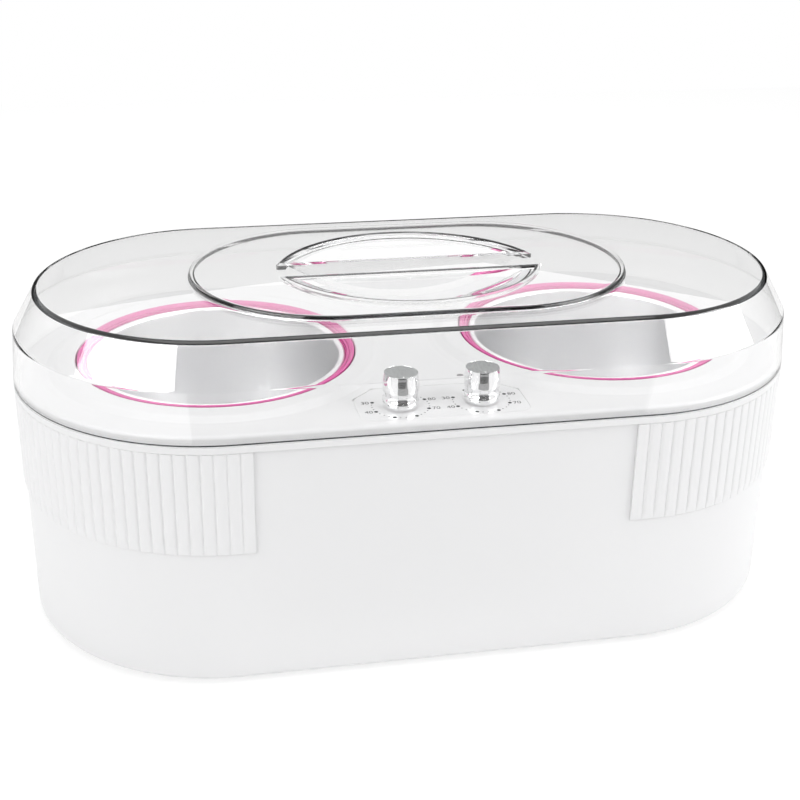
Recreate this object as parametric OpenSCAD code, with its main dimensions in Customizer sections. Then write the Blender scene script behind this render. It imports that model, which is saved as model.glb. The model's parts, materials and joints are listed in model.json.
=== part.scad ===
// Double wax warmer: two heated pots in one obround housing, under one clear lid.
// Millimetres. +X is the user's right, -Y the front, +Z up, and the feet stand on z = 0.
// Plan shapes are obrounds: two half circles joined by straight sides.

/* [Body] */
// Length over the lid and the cover's lip
body_len = 359; // [350:1:380]
// Depth over the lid and the cover's lip
body_depth = 181; // [179:1:190]
// Height of the ledge that the lid stands on
ledge_z = 114; // [108:0.5:120]
// Wall of the housing
wall = 2.5; // [2:0.1:3]
// Radius of the housing's lower edge
edge_r = 2.5; // [1.5:0.5:6]
// How far the cover's lip stands out from the housing
lip_out = 1.3; // [1.2:0.1:2]
// Height of the cover's lip
lip_h = 3; // [2.6:0.1:5]
// Thickness of the base plate
plate_t = 2.5; // [2.2:0.1:3.5]
// Height of the rubber feet
foot_h = 2; // [1.5:0.5:6]
// Radius of a rubber foot
foot_r = 9; // [7:0.5:11]

/* [Cover] */
// Wall of the cover
cover_t = 2.5; // [2.2:0.1:3]
// Height of the cover's deck above the ledge
deck_rise = 4; // [3:0.5:6]
// Height of the pot collars above the deck
collar_rise = 2; // [1.5:0.5:3]
// Radius of a collar's foot
collar_r = 79; // [77:0.5:82]
// Depth of the seat for a pot ring below the top of its collar
seat_d = 4; // [3.5:0.5:5]

/* [Lid] */
// Wall of the lid
lid_t = 2.2; // [1.8:0.1:2.6]
// Height of the lid's corner above its lower edge
skirt_h = 23; // [20:0.5:30]
// How far the skirt leans in at the corner
skirt_in = 1.8; // [1:0.1:4]
// Height of the flat top above the lid's lower edge
top_h = 40.5; // [36:0.5:48]
// How far the edge of the flat top lies in from the lid's lower edge
top_in = 12.1; // [10:0.1:16]
// Height of the oval platform above the flat top
platform_h = 2; // [1:0.5:3]
// Length of the oval platform
platform_len = 200; // [180:1:220]
// Depth of the oval platform
platform_depth = 127; // [118:1:140]
// Width of the grip bar between the finger wells
bar_w = 20; // [16:1:24]
// Length of the finger wells along the bar
scoop_len = 114; // [100:1:120]
// Reach of a finger well from the middle of the bar
scoop_reach = 49; // [44:1:52]
// Depth of the finger wells
scoop_d = 18; // [14:1:19]

/* [Pots] */
// Inner radius of a pot at its rim
pot_r = 55.4; // [53:0.2:56]
// Depth of a pot
pot_depth = 70; // [50:1:74]
// Wall of a pot
pot_t = 1.2; // [1:0.1:1.5]
// How much narrower a pot's inside is at its floor
pot_taper = 1.4; // [0.5:0.1:2]
// Radius of the roll at a pot's rim
roll_r = 1.5; // [1.2:0.1:1.8]
// Outer radius of a pot's ring
ring_r = 62.5; // [62.2:0.1:64]
// Height of a pot's ring above its collar
ring_out = 1; // [0.5:0.1:2]

/* [Heating] */
// Wall of a heater well
well_t = 1.2; // [1:0.1:1.5]
// Thickness of a well's gasket
gasket_t = 1.2; // [1:0.1:1.6]
// Height of a heater band
band_h = 40; // [25:1:42]
// Thickness of a heater band
band_t = 2; // [1.5:0.1:3]

/* [Controls] */
// Half the distance between the two knobs
knob_x = 17.5; // [15:0.5:20]
// Distance from the body's front to the knobs' axes
knob_front = 21; // [20:0.5:24]
// Diameter of a knob
knob_d = 15.5; // [15:0.1:18]
// Height of a knob
knob_h = 14.8; // [13:0.1:18]
// Diameter of the control shafts
shaft_d = 4; // [3.6:0.1:4.4]
// Width of the control panel
panel_w = 73; // [66:1:78]
// Depth of the control panel
panel_d = 33; // [30:1:36]

/* [Grip bands] */
// Height of a ribbed grip band
grip_h = 46.5; // [30:0.5:60]
// How far a grip band stands out from the housing
grip_out = 1.3; // [1.1:0.1:1.9]
// Distance from one rib to the next
rib_pitch = 5.45; // [4.5:0.05:8]
// Length of the straight stretch at each end of a grip band
grip_tail = 7.5; // [4:0.5:20]

/* [Inlet] */
// Height of the mains inlet's middle
inlet_z = 32; // [28:1:50]

/* [Hidden] */

// Sides of a full circle
round_n = 96;
// Sides of a small circle
small_n = 32;
// Gap between two pieces that move apart
lift_gap = 0.3;
// Gap round a fixed piece in its seat
seat_gap = 0.3;
// Gap round a shaft that turns
run_gap = 0.05;
// Gap between a fixed sleeve and what it grips
sleeve_gap = 0.1;
// Overrun of a cut past the face that it opens
cut = 1;

// Colours
white = [0.93, 0.93, 0.93];
clear = [0.86, 0.9, 0.93, 0.35];
pink = [0.87, 0.42, 0.66];
alloy = [0.74, 0.75, 0.76];
chrome = [0.82, 0.83, 0.85];
steel = [0.6, 0.61, 0.63];
brass = [0.78, 0.62, 0.3];
black = [0.12, 0.12, 0.13];
silicone = [0.75, 0.3, 0.22];

// Plan of the body
body_r = body_depth/2;
pot_x = body_len/2 - body_r;
house_r = body_r - lip_out;

// Levels, from the floor up
plate_z = foot_h;
plate_top = plate_z + plate_t;
flange_t = 2.2;
house_top = ledge_z - flange_t;
deck_z = ledge_z + deck_rise;
deck_under = deck_z - cover_t;
collar_z = deck_z + collar_rise;
seat_z = collar_z - seat_d;
mouth_under = seat_z - cover_t;
lip_z = ledge_z - lip_h;

// Lid
lid_z = ledge_z + lift_gap;
lid_fit = 0.4;
deck_r = body_r - lid_t - lid_fit;
corner_r = body_r - skirt_in;
corner_z = lid_z + skirt_h;
top_r = body_r - top_in;
top_z = lid_z + top_h;
platform_z = top_z + platform_h;
platform_r = platform_depth/2;
platform_x = platform_len/2 - platform_r;
shoulder_tilt = atan2(top_h - skirt_h, top_in - skirt_in);
skirt_tilt = atan2(skirt_in, skirt_h);
// A finger well's outline is part of a circle about a centre beyond the bar
scoop_far = scoop_reach - bar_w/2;
scoop_r = (scoop_len*scoop_len/4 + scoop_far*scoop_far)/(2*scoop_far);
scoop_y = scoop_reach - scoop_r;
scoop_rim_w = 6;
scoop_rim_d = 2;

// Pot, ring and the mouth they sit in
roll_gap = 0.05;
roll_x = pot_r + roll_r;
pot_out_r = pot_r + pot_t;
neck_gap = 0.7;
neck_r = roll_x + roll_r + neck_gap;
mouth_fit = 0.4;
mouth_r = neck_r + mouth_fit;
ring_under = seat_z + lift_gap;
ring_top = collar_z + ring_out;
neck_under = mouth_under - gasket_t + mouth_fit;
shelf_t = 2.7;
shelf_z = neck_under + shelf_t;
shelf_r = pot_out_r + 0.2;
roll_seat_r = roll_x + roll_r + sleeve_gap;
ring_bend = 0.8;
ring_lip = 1.6;
roll_z = shelf_z + roll_gap + roll_r;
pot_floor_z = roll_z + roll_r - pot_depth;
pot_under = pot_floor_z - pot_t;
pot_corner = 6;

// Heater well
well_fit = 0.6;
well_r = pot_out_r + well_fit;
well_out_r = well_r + well_t;
well_floor_z = pot_under - lift_gap;
well_under = well_floor_z - well_t;
flange_top = mouth_under - gasket_t;
well_corner = 3;
well_flange_r = 73.5;
well_screw_r = well_flange_r - 4;
well_screw_turn = 22.5;
gasket_in = mouth_r + 0.5;
gasket_out = gasket_in + 5.5;
boss_r = 3.5;
pilot_r = 1.45;
screw_r = 1.4;
head_r = 2.8;
head_h = 1.6;
cross_len = 1.2*head_r;
cross_w = 0.8;
cross_deep = 0.8;

// Heater band, between the well's floor and its flange
band_mid = (well_floor_z + flange_top)/2;
band_z = band_mid - band_h/2;
band_in_r = well_out_r + sleeve_gap;
band_out_r = band_in_r + band_t;
band_slot = 10;
lug_len = 9;
lug_t = 1.5;
lug_short = 1;
lug_turn = 25;
post_len = 6;
post_drop = 8;

// Safety cut-out, under the well's floor
stud_h = 4;
stud_y = 12;
well_stud_r = 3;
cutout_r = 8;
cutout_flange_t = 0.8;
cutout_body_h = 7;
blade_w = 6.3;
blade_t = 0.8;
blade_len = 8;
blade_x = 5;
// How far the thermostats' tabs stand off the shaft's axis and above the block's foot
tab_x = 6;
tab_rise = 5;

// Controls
knob_y = -(body_r - knob_front);
panel_recess = 1;
panel_t = 0.6;
panel_top = deck_z - panel_recess + panel_t;
panel_front = 7;
panel_corner = 6;
knob_gap = 0.4;
knob_z = panel_top + knob_gap;
shaft_r = shaft_d/2;
bore_r = shaft_r + run_gap;
neck_wall = 1.45;
bush_r = bore_r + neck_wall;
bush_up = 3;
bush_hole_gap = 0.2;
shoulder_r = 6;
shoulder_h = 4.8;
bush_plate_t = 1.2;
block_w = 26;
block_d = 24;
block_h = 16;
block_top = deck_under - shoulder_h - bush_plate_t;
shaft_down = 10;
nut_af = 9;
nut_h = 1.8;
nut_r = nut_af/2/cos(30);
skirt_hole_r = nut_r + 0.5;
skirt_hole_h = 3.8;
grip_bore_h = 8.7;
flat_x = shaft_r - 0.5;
cap_t = 0.8;
cap_rim = 0.8;
cap_gap = 0.05;
lamp_back = 26.5;
lamp_r = 1.5;
lamp_y = knob_y + lamp_back;
lamp_body_wall = 1;
lamp_body_h = 10;
// The lamps stand midway between the middle plane and the wells' flanges
lamp_x = (pot_x - sqrt(well_flange_r*well_flange_r - lamp_y*lamp_y))/2;

// Fixings round the body: eight places, given by how far they lie in from the housing's face
plate_in = 9.5;
rim_step_in = 17.5;
base_boss_in = 14;
base_boss_h = 14;
post_in = 8;
lug_drop = 8;
lug_h = 3;
plate_r = house_r - plate_in - seat_gap;

// Feet and vents of the base plate
foot_out_x = 16;
foot_in_y = 43;
vent_len = 30;
vent_w = 3;
vent_pitch = 8;

// Grip bands
grip_top = lip_z - sleeve_gap;
grip_z = grip_top - grip_h;
grip_in_r = house_r + sleeve_gap;
grip_r = house_r + grip_out;
rib_groove = 0.7;
grip_lead = 4;
stud_r = 2.5;
stud_fit = 0.1;
stud_head = 3.6;
stud_head_t = 1;
stud_turns = [-60, 0, 60];

// Mains inlet, a standard size
inlet_w = 50;
inlet_h = 24;
inlet_t = 3;
inlet_body_w = 27;
inlet_body_h = 19.8;
inlet_deep = 20;
inlet_hole_x = 20;
inlet_cavity_w = 24.4;
inlet_cavity_h = 16.9;
inlet_cavity_d = 15.5;
inlet_sunk = 1.6;
inlet_fit = 0.3;
inlet_face = house_r - inlet_sunk + inlet_t;
pocket_y = house_r - inlet_sunk;
pocket_back = pocket_y - wall;
pin_gap = 7;
pin_drop = 4;
pin_w = 2;
pin_h = 4;
pin_short = 1;
tab_len = 8;
inlet_nut_r = 3.2;
inlet_nut_h = 2.4;

// Terminal block, on the base plate
block_y = 30;
tb_w = 34;
tb_d = 16;
tb_h = 14;
pole_pitch = 11;
pole_r = 2.6;
entry_r = 2.8;
entry_z = plate_top + 5;

// Leads
lead_r = 1;
lead_sides = 8;

// Helpers

function arc(cx, cy, r, from, to, n = 6) =
  [for (i = [0:n]) let (a = from + (to - from)*i/n) [cx + r*cos(a), cy + r*sin(a)]];

// Sweeps a profile, drawn as distance from the centre line and height, round an obround
module around(half) {
  for (s = [-1, 1]) {
    translate([s*half, 0, 0])
      rotate([0, 0, -90*s])
        rotate_extrude(angle = 180, $fn = round_n) children();
    flip_y(s)
      rotate([90, 0, 90])
        linear_extrude(height = 2*half, center = true) children();
  }
}

module flip_y(s) {
  if (s < 0) mirror([0, 1, 0]) children();
  else children();
}

module obround_disc(half, r, z0, z1) {
  translate([-half, -r, z0]) cube([2*half, 2*r, z1 - z0]);
  for (s = [-1, 1]) translate([s*half, 0, z0]) cylinder(h = z1 - z0, r = r, $fn = round_n);
}

// Turns a profile about the axis of the pot on side s
module at_pot(s) {
  translate([s*pot_x, 0, 0]) rotate_extrude($fn = round_n) children();
}

// Puts a piece at each of the eight fixing places, with +X pointing outwards
module at_spots(inset) {
  r = house_r - inset;
  for (sx = [-1, 1], sy = [-1, 1]) {
    translate([sx*pot_x/2, sy*r, 0]) rotate(90*sy) children();
    translate([sx*pot_x, 0, 0]) rotate(sx > 0 ? 45*sy : 180 - 45*sy) translate([r, 0, 0]) children();
  }
}

module at_well_screws(s) {
  for (i = [0:3]) let (a = well_screw_turn + 90*i)
    translate([s*pot_x, 0, 0]) rotate(s > 0 ? a : 180 - a) translate([well_screw_r, 0, 0]) children();
}

module at_studs(s) {
  for (a = stud_turns)
    translate([s*pot_x, 0, grip_top - grip_h/2]) rotate(s > 0 ? a : 180 - a) children();
}

module at_knob(s) {
  translate([s*knob_x, knob_y, 0]) children();
}

module at_inlet() {
  translate([0, 0, inlet_z]) children();
}

module pin_hole(r, z0, z1) {
  translate([0, 0, z0]) cylinder(h = z1 - z0, r = r, $fn = small_n);
}

// A screw that points up, with its head's upper face at z
module screw_up(z, len, r = screw_r) {
  pin_hole(r, z, z + len);
  difference() {
    pin_hole(head_r, z - head_h, z);
    for (a = [0, 90]) rotate(a) translate([-cross_len/2, -cross_w/2, z - head_h - cut])
      cube([cross_len, cross_w, cut + cross_deep]);
  }
}

// Housing

module housing_profile() {
  r0 = house_r - plate_in;
  r1 = house_r - rim_step_in;
  r2 = house_r - wall;
  polygon(concat(
    [[r0, plate_z]],
    arc(house_r - edge_r, plate_z + edge_r, edge_r, -90, 0, 8),
    [[house_r, house_top], [r2, house_top], [r2, plate_top + wall], [r1, plate_top + wall],
     [r1, plate_top], [r0, plate_top]]));
}

module cover_lug() {
  z1 = deck_under - lug_drop - lug_h;
  reach = post_in - wall + 0.6;
  translate([-boss_r - 0.5, -boss_r - 1.5, z1]) cube([boss_r + 0.5 + reach, 2*boss_r + 3, lug_h]);
}

module housing() color(white) difference() {
  union() {
    around(pot_x) housing_profile();
    at_spots(base_boss_in) pin_hole(boss_r, plate_top, plate_top + base_boss_h);
    at_spots(post_in) cover_lug();
    at_inlet() translate([-inlet_w/2 - 3, pocket_back, -inlet_h/2 - 3])
      cube([inlet_w + 6, house_r - pocket_back, inlet_h + 6]);
  }
  at_spots(base_boss_in) pin_hole(pilot_r, plate_top - cut, plate_top + base_boss_h - 2);
  at_spots(post_in)
    pin_hole(screw_r + seat_gap, deck_under - lug_drop - lug_h - cut, deck_under - lug_drop + cut);
  at_inlet() {
    translate([-inlet_w/2 - inlet_fit, pocket_y, -inlet_h/2 - inlet_fit])
      cube([inlet_w + 2*inlet_fit, inlet_sunk + cut, inlet_h + 2*inlet_fit]);
    translate([-inlet_body_w/2 - inlet_fit, pocket_back - cut, -inlet_body_h/2 - inlet_fit])
      cube([inlet_body_w + 2*inlet_fit, wall + 2*cut, inlet_body_h + 2*inlet_fit]);
    for (s = [-1, 1]) translate([s*inlet_hole_x, pocket_back - cut, 0])
      rotate([-90, 0, 0]) cylinder(h = wall + 2*cut, r = screw_r + seat_gap, $fn = small_n);
  }
  for (s = [-1, 1]) at_studs(s) translate([house_r - wall - cut, 0, 0])
    rotate([0, 90, 0]) cylinder(h = wall + 2*cut, r = stud_r + stud_fit, $fn = small_n);
}

// Ribbed band that wraps one end, with studs staked inside the wall

module grip_profile() {
  polygon([[grip_in_r, grip_z], [grip_in_r + 0.4, grip_z], [grip_r, grip_z + grip_lead],
           [grip_r, grip_top], [grip_in_r, grip_top]]);
}

// Place of the point at distance t along the band's face from the middle of its end
function grip_spot(t) = let (quarter = grip_r*PI/2, past = abs(t) - quarter)
  past > 0 ? [-past, sign(t)*grip_r] : [grip_r*cos(t*180/PI/grip_r), grip_r*sin(t*180/PI/grip_r)];

// Ribs on each side of the middle of a band
ribs = floor((grip_r*PI/2 + grip_tail - rib_groove - 0.5)/rib_pitch);

module grip_band(s) color(white) difference() {
  union() {
    translate([s*pot_x, 0, 0]) rotate([0, 0, -90*s])
      rotate_extrude(angle = 180, $fn = round_n) grip_profile();
    for (f = [-1, 1]) flip_y(f) translate([s*(pot_x - grip_tail/2), 0, 0]) rotate([90, 0, 90])
      linear_extrude(height = grip_tail, center = true) grip_profile();
    at_studs(s) {
      translate([house_r - wall - stud_head_t, 0, 0]) rotate([0, 90, 0])
        cylinder(h = wall + stud_head_t + sleeve_gap + 0.5, r = stud_r, $fn = small_n);
      translate([house_r - wall - stud_head_t - lift_gap, 0, 0]) rotate([0, 90, 0])
        cylinder(h = stud_head_t, r = stud_head, $fn = small_n);
    }
  }
  for (i = [-ribs:ribs]) translate([s*pot_x, 0, grip_z - cut]) mirror([s < 0 ? 1 : 0, 0, 0])
    translate(grip_spot(i*rib_pitch)) cylinder(h = grip_h + 2*cut, r = rib_groove, $fn = 16);
}

// Cover: lip, ledge, deck and the two collars

module cover_profile() {
  in_r = deck_r - cover_t;
  bend = 1.5;
  polygon(concat(
    [[0, deck_under], [in_r, deck_under], [in_r, house_top], [house_r + sleeve_gap, house_top],
     [house_r + sleeve_gap, lip_z], [body_r, lip_z], [body_r, ledge_z], [deck_r, ledge_z]],
    arc(deck_r - bend, deck_z - bend, bend, 0, 90, 5),
    [[0, deck_z]]));
}

module collar_profile() {
  seat_r = ring_r + 0.5;
  top_r1 = collar_r - 9;
  polygon(concat(
    [[mouth_r, mouth_under], [mouth_r, seat_z], [seat_r, seat_z]],
    arc(seat_r + 0.8, collar_z - 0.8, 0.8, 180, 90, 4),
    arc(top_r1, collar_z - 5, 5, 90, 62, 5),
    [[collar_r - 3.4, deck_z + 0.28], [collar_r, deck_z], [collar_r, deck_under + 0.5],
     [gasket_out + 4, deck_under], [gasket_out + 1, mouth_under]]));
}

module cover_post() {
  pin_hole(boss_r, deck_under - lug_drop, deck_under + 0.5);
}

module panel_shape(z0, z1, gap = 0) {
  y0 = -(body_r - panel_front) + gap;
  y1 = y0 + panel_d - 2*gap;
  x1 = panel_w/2 - gap;
  c = panel_corner;
  difference() {
    union() {
      translate([-x1 + c, y0, z0]) cube([2*x1 - 2*c, y1 - y0, z1 - z0]);
      translate([-x1, y0 + c, z0]) cube([2*x1, y1 - y0 - 2*c, z1 - z0]);
      for (x = [-x1 + c, x1 - c], y = [y0 + c, y1 - c])
        translate([x, y, z0]) cylinder(h = z1 - z0, r = c, $fn = small_n);
    }
    for (s = [-1, 1]) translate([s*pot_x, 0, z0 - cut])
      cylinder(h = z1 - z0 + 2*cut, r = collar_r + 1 + gap, $fn = round_n);
  }
}

module top_cover() color(white) difference() {
  union() {
    difference() {
      around(pot_x) cover_profile();
      for (s = [-1, 1]) translate([s*pot_x, 0, deck_under - cut])
        cylinder(h = cover_t + 2*cut, r = ring_r + 3, $fn = round_n);
    }
    for (s = [-1, 1]) {
      at_pot(s) collar_profile();
      at_well_screws(s) pin_hole(boss_r, flange_top, deck_under + 0.5);
    }
    at_spots(post_in) cover_post();
  }
  at_spots(post_in) pin_hole(pilot_r, deck_under - lug_drop - cut, deck_under - 0.5);
  panel_shape(deck_z - panel_recess, deck_z + cut);
  for (s = [-1, 1]) {
    at_well_screws(s) pin_hole(pilot_r, flange_top - cut, deck_under + 1);
    at_knob(s) pin_hole(bush_r + bush_hole_gap, deck_under - cut, deck_z);
    translate([s*lamp_x, lamp_y, 0]) pin_hole(lamp_r + sleeve_gap, deck_under - cut, deck_z + cut);
  }
}

module control_panel() color(white) difference() {
  panel_shape(deck_z - panel_recess, panel_top, seat_gap);
  for (s = [-1, 1]) at_knob(s) pin_hole(bush_r + bush_hole_gap, deck_z - 2*panel_recess, deck_z);
}

// Base plate, feet and screws

module at_feet() {
  for (sx = [-1, 1], sy = [-1, 1])
    translate([sx*(pot_x + foot_out_x), sy*(body_r - foot_in_y), 0]) children();
}

module base_plate() color(white) difference() {
  obround_disc(pot_x, plate_r, plate_z, plate_top);
  at_spots(base_boss_in) {
    pin_hole(screw_r + seat_gap, plate_z - cut, plate_top + cut);
    pin_hole(head_r + seat_gap, plate_z - cut, plate_z + head_h);
  }
  at_feet() pin_hole(foot_r/3 + sleeve_gap, plate_z - cut, plate_top + cut);
  for (s = [-1, 1], i = [-2:2])
    translate([s*pot_x - vent_len/2, i*vent_pitch - vent_w/2, plate_z - cut])
      cube([vent_len, vent_w, plate_t + 2*cut]);
  for (x = [-pole_pitch/2, pole_pitch/2])
    translate([x, block_y, 0]) pin_hole(pilot_r, plate_z - cut, plate_top + cut);
}

module feet() color(black) at_feet() rotate_extrude($fn = 48)
  polygon([[0, 0], [foot_r - 0.6, 0], [foot_r, 0.6], [foot_r, plate_z], [foot_r/3, plate_z],
           [foot_r/3, plate_top], [foot_r/3 + 1.2, plate_top], [foot_r/3, plate_top + 1.8],
           [0, plate_top + 1.8]]);

module base_screws() color(steel) at_spots(base_boss_in) screw_up(plate_z + head_h, base_boss_h - 4);

module cover_screws() color(steel) at_spots(post_in)
  screw_up(deck_under - lug_drop - lug_h, lug_h + lug_drop - 1.5);

// Lid

module lid_outside() {
  around(pot_x) polygon([[0, lid_z], [body_r, lid_z], [corner_r, corner_z], [top_r, top_z], [0, top_z]]);
  obround_disc(platform_x, platform_r, top_z - 0.1, platform_z);
}

// Corner of the face one wall inside a bend at p, where the outline turns from direction a to b
function inner_corner(p, a, b) = let (na = [-sin(a), cos(a)], nb = [-sin(b), cos(b)])
  p + lid_t*(na + nb)/(1 + na*nb);

module lid_inside() {
  foot_r1 = body_r - lid_t/cos(skirt_tilt);
  around(pot_x) polygon([
    [0, lid_z - cut], [foot_r1, lid_z - cut], [foot_r1, lid_z],
    inner_corner([corner_r, corner_z], 90 + skirt_tilt, 180 - shoulder_tilt),
    inner_corner([top_r, top_z], 180 - shoulder_tilt, 180), [0, top_z - lid_t]]);
  obround_disc(platform_x, platform_r - lid_t, top_z - lid_t - 0.1, platform_z - lid_t);
}

// Profile of a finger well about its own axis: a shallow rim, then a bowl
module scoop_profile(grow, top) {
  bowl_r = scoop_r - scoop_rim_w;
  drop = scoop_d - scoop_rim_d;
  ball = (bowl_r*bowl_r + drop*drop)/(2*drop);
  half = asin(bowl_r/ball);
  polygon(concat(
    [[0, top], [scoop_r + grow, top], [scoop_r + grow, platform_z - scoop_rim_d - grow]],
    arc(0, platform_z - scoop_d + ball, ball + grow, -90 + half, -90, 14)));
}

module scoop(s, grow, top) {
  intersection() {
    translate([0, s*scoop_y, 0]) rotate_extrude($fn = round_n) scoop_profile(grow, top);
    flip_y(s) translate([-scoop_len, bar_w/2 - grow, platform_z - scoop_d - 2*lid_t])
      cube([2*scoop_len, scoop_len, scoop_d + 4*lid_t]);
  }
}

module lid() color(clear) difference() {
  union() {
    difference() {
      lid_outside();
      lid_inside();
    }
    for (s = [-1, 1]) scoop(s, lid_t, platform_z - 0.5);
  }
  for (s = [-1, 1]) scoop(s, 0, platform_z + cut);
}

// Pots and their rings

module pot_profile() {
  floor_r = pot_r - pot_taper;
  inner_bend = pot_corner - pot_t;
  polygon(concat(
    [[0, pot_under]],
    arc(floor_r - inner_bend, pot_under + pot_corner, pot_corner, -90, 0),
    [[pot_out_r, roll_z], [pot_r, roll_z]],
    arc(floor_r - inner_bend, pot_floor_z + inner_bend, inner_bend, 0, -90),
    [[0, pot_floor_z]]));
  translate([roll_x, roll_z]) circle(r = roll_r, $fn = 24);
}

module ring_profile() {
  polygon(concat(
    [[shelf_r, neck_under], [neck_r, neck_under], [neck_r, ring_under], [ring_r, ring_under]],
    arc(ring_r - ring_bend, ring_top - ring_bend, ring_bend, 0, 90, 4),
    [[ring_r - ring_lip, ring_top], [ring_r - ring_lip - 0.5, ring_top - 0.5],
     [roll_seat_r, roll_z], [roll_seat_r, shelf_z], [shelf_r, shelf_z]]));
}

module wax_pot(s) color(alloy) at_pot(s) pot_profile();

module pot_ring(s) color(pink) at_pot(s) ring_profile();

// Heater wells and what is fixed to them

module well_profile() {
  bend_r = well_out_r - well_corner;
  polygon(concat(
    [[0, well_under]],
    arc(bend_r, well_under + well_corner, well_corner, -90, 0, 5),
    [[well_out_r, flange_top - well_t], [well_flange_r, flange_top - well_t],
     [well_flange_r, flange_top], [well_r, flange_top]],
    arc(bend_r, well_under + well_corner, well_corner - well_t, 0, -90, 5),
    [[0, well_floor_z]]));
}

module heater_well(s) color(alloy) difference() {
  union() {
    at_pot(s) well_profile();
    for (y = [-stud_y, stud_y])
      translate([s*pot_x, y, 0]) pin_hole(well_stud_r, well_under - stud_h, well_under + 0.5);
  }
  at_well_screws(s) pin_hole(screw_r + seat_gap, flange_top - 2*well_t, flange_top + cut);
  for (y = [-stud_y, stud_y])
    translate([s*pot_x, y, 0]) pin_hole(pilot_r, well_under - stud_h - cut, well_under - 0.3);
}

module well_gasket(s) color(silicone) at_pot(s)
  translate([gasket_in, flange_top]) square([gasket_out - gasket_in, gasket_t]);

module well_screws() color(steel) for (s = [-1, 1])
  at_well_screws(s) screw_up(flange_top - well_t, well_t + deck_under - flange_top);

// Turn of the band's slot, which faces the middle of the body and a little to the back
function slot_turn(s) = s > 0 ? 180 - lug_turn : lug_turn;

module at_slot(s) {
  translate([s*pot_x, 0, 0]) rotate(slot_turn(s)) children();
}

// Turn of the band's two terminal posts, which face the middle and a little to the front
module at_posts(s) {
  translate([s*pot_x, 0, 0]) rotate(-slot_turn(s)) children();
}

module heater_band(s) color(brass) difference() {
  end_turn = asin((band_slot/2 + lug_t/2)/band_in_r);
  union() {
    at_slot(s) rotate([0, 0, end_turn]) rotate_extrude(angle = 360 - 2*end_turn, $fn = round_n)
      translate([band_in_r, band_z]) square([band_t, band_h]);
    at_slot(s) for (f = [-1, 1])
      translate([band_in_r + 0.2, f*(band_slot/2 + lug_t/2) - lug_t/2, band_z + lug_short])
        cube([band_t + lug_len, lug_t, band_h - 2*lug_short]);
    at_posts(s) for (f = [-1, 1]) translate([band_out_r - 0.5, 0, band_mid + f*post_drop])
      rotate([0, 90, 0]) cylinder(h = post_len + 0.5, r = 1.5, $fn = small_n);
  }
  at_slot(s) for (f = [-1, 1])
    translate([band_out_r + lug_len/2, -band_slot, band_mid + f*band_h/4]) rotate([-90, 0, 0])
      cylinder(h = 2*band_slot, r = screw_r + sleeve_gap, $fn = small_n);
}

module clamp_screws() color(steel) for (s = [-1, 1], f = [-1, 1])
  at_slot(s) translate([band_out_r + lug_len/2, 0, band_mid + f*band_h/4]) rotate([-90, 0, 0])
    union() {
      half = band_slot/2 + lug_t;
      pin_hole(screw_r, -half, half);
      pin_hole(head_r, -half - head_h, -half);
      translate([0, 0, half]) cylinder(h = 2.2, r = head_r, $fn = 6);
    }

module safety_cutout(s) color(black) translate([s*pot_x, 0, 0]) {
  z1 = well_under - stud_h;
  z0 = z1 - cutout_flange_t;
  difference() {
    union() {
      pin_hole(cutout_r, z0 - cutout_body_h, well_under);
      translate([-cutout_r + 2, -stud_y, z0]) cube([2*cutout_r - 4, 2*stud_y, cutout_flange_t]);
      for (y = [-stud_y, stud_y]) translate([0, y, 0]) pin_hole(cutout_r - 2, z0, z1);
    }
    for (y = [-stud_y, stud_y]) translate([0, y, 0]) pin_hole(screw_r + sleeve_gap, z0 - cut, z1 + cut);
  }
  for (x = [-blade_x, blade_x]) translate([x - blade_t/2, -blade_w/2, z0 - cutout_body_h - blade_len])
    cube([blade_t, blade_w, blade_len + 0.5]);
}

module cutout_screws() color(steel) for (s = [-1, 1], y = [-stud_y, stud_y])
  translate([s*pot_x, y, 0]) screw_up(well_under - stud_h - cutout_flange_t, cutout_flange_t + stud_h - 1);

// Controls

module thermostat_base(s) color(black) at_knob(s) {
  difference() {
    translate([-block_w/2, -block_d/2, block_top - block_h]) cube([block_w, block_d, block_h]);
    pin_hole(bore_r, block_top - shaft_down, block_top + cut);
  }
  for (x = [-tab_x, tab_x]) translate([x - blade_w/2, block_d/2 - 0.5, block_top - block_h + tab_rise])
    cube([blade_w, blade_len + 0.5, blade_t]);
}

module thermostat_bushing(s) color(steel) at_knob(s) difference() {
  union() {
    translate([-block_w/2, -block_d/2, block_top]) cube([block_w, block_d, bush_plate_t]);
    pin_hole(shoulder_r, block_top, deck_under);
    pin_hole(bush_r, block_top, panel_top + bush_up);
  }
  pin_hole(bore_r, block_top - cut, panel_top + bush_up + cut);
}

module thermostat_nuts() color(steel) for (s = [-1, 1]) at_knob(s) difference() {
  translate([0, 0, panel_top]) cylinder(h = nut_h, r = nut_r, $fn = 6);
  pin_hole(bush_r + run_gap, panel_top - cut, panel_top + nut_h + cut);
}

// A round bar with one flat side
module flatted(r, x, z0, z1) {
  intersection() {
    pin_hole(r, z0, z1);
    translate([-r - 1, -r - 1, z0 - cut]) cube([r + 1 + x, 2*r + 2, z1 - z0 + 2*cut]);
  }
}

module control_shaft(s) color(steel) at_knob(s) {
  flat_z = knob_z + skirt_hole_h;
  pin_hole(shaft_r, block_top - shaft_down + 0.3, flat_z);
  flatted(shaft_r, flat_x, flat_z, flat_z + grip_bore_h - 0.3);
}

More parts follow.
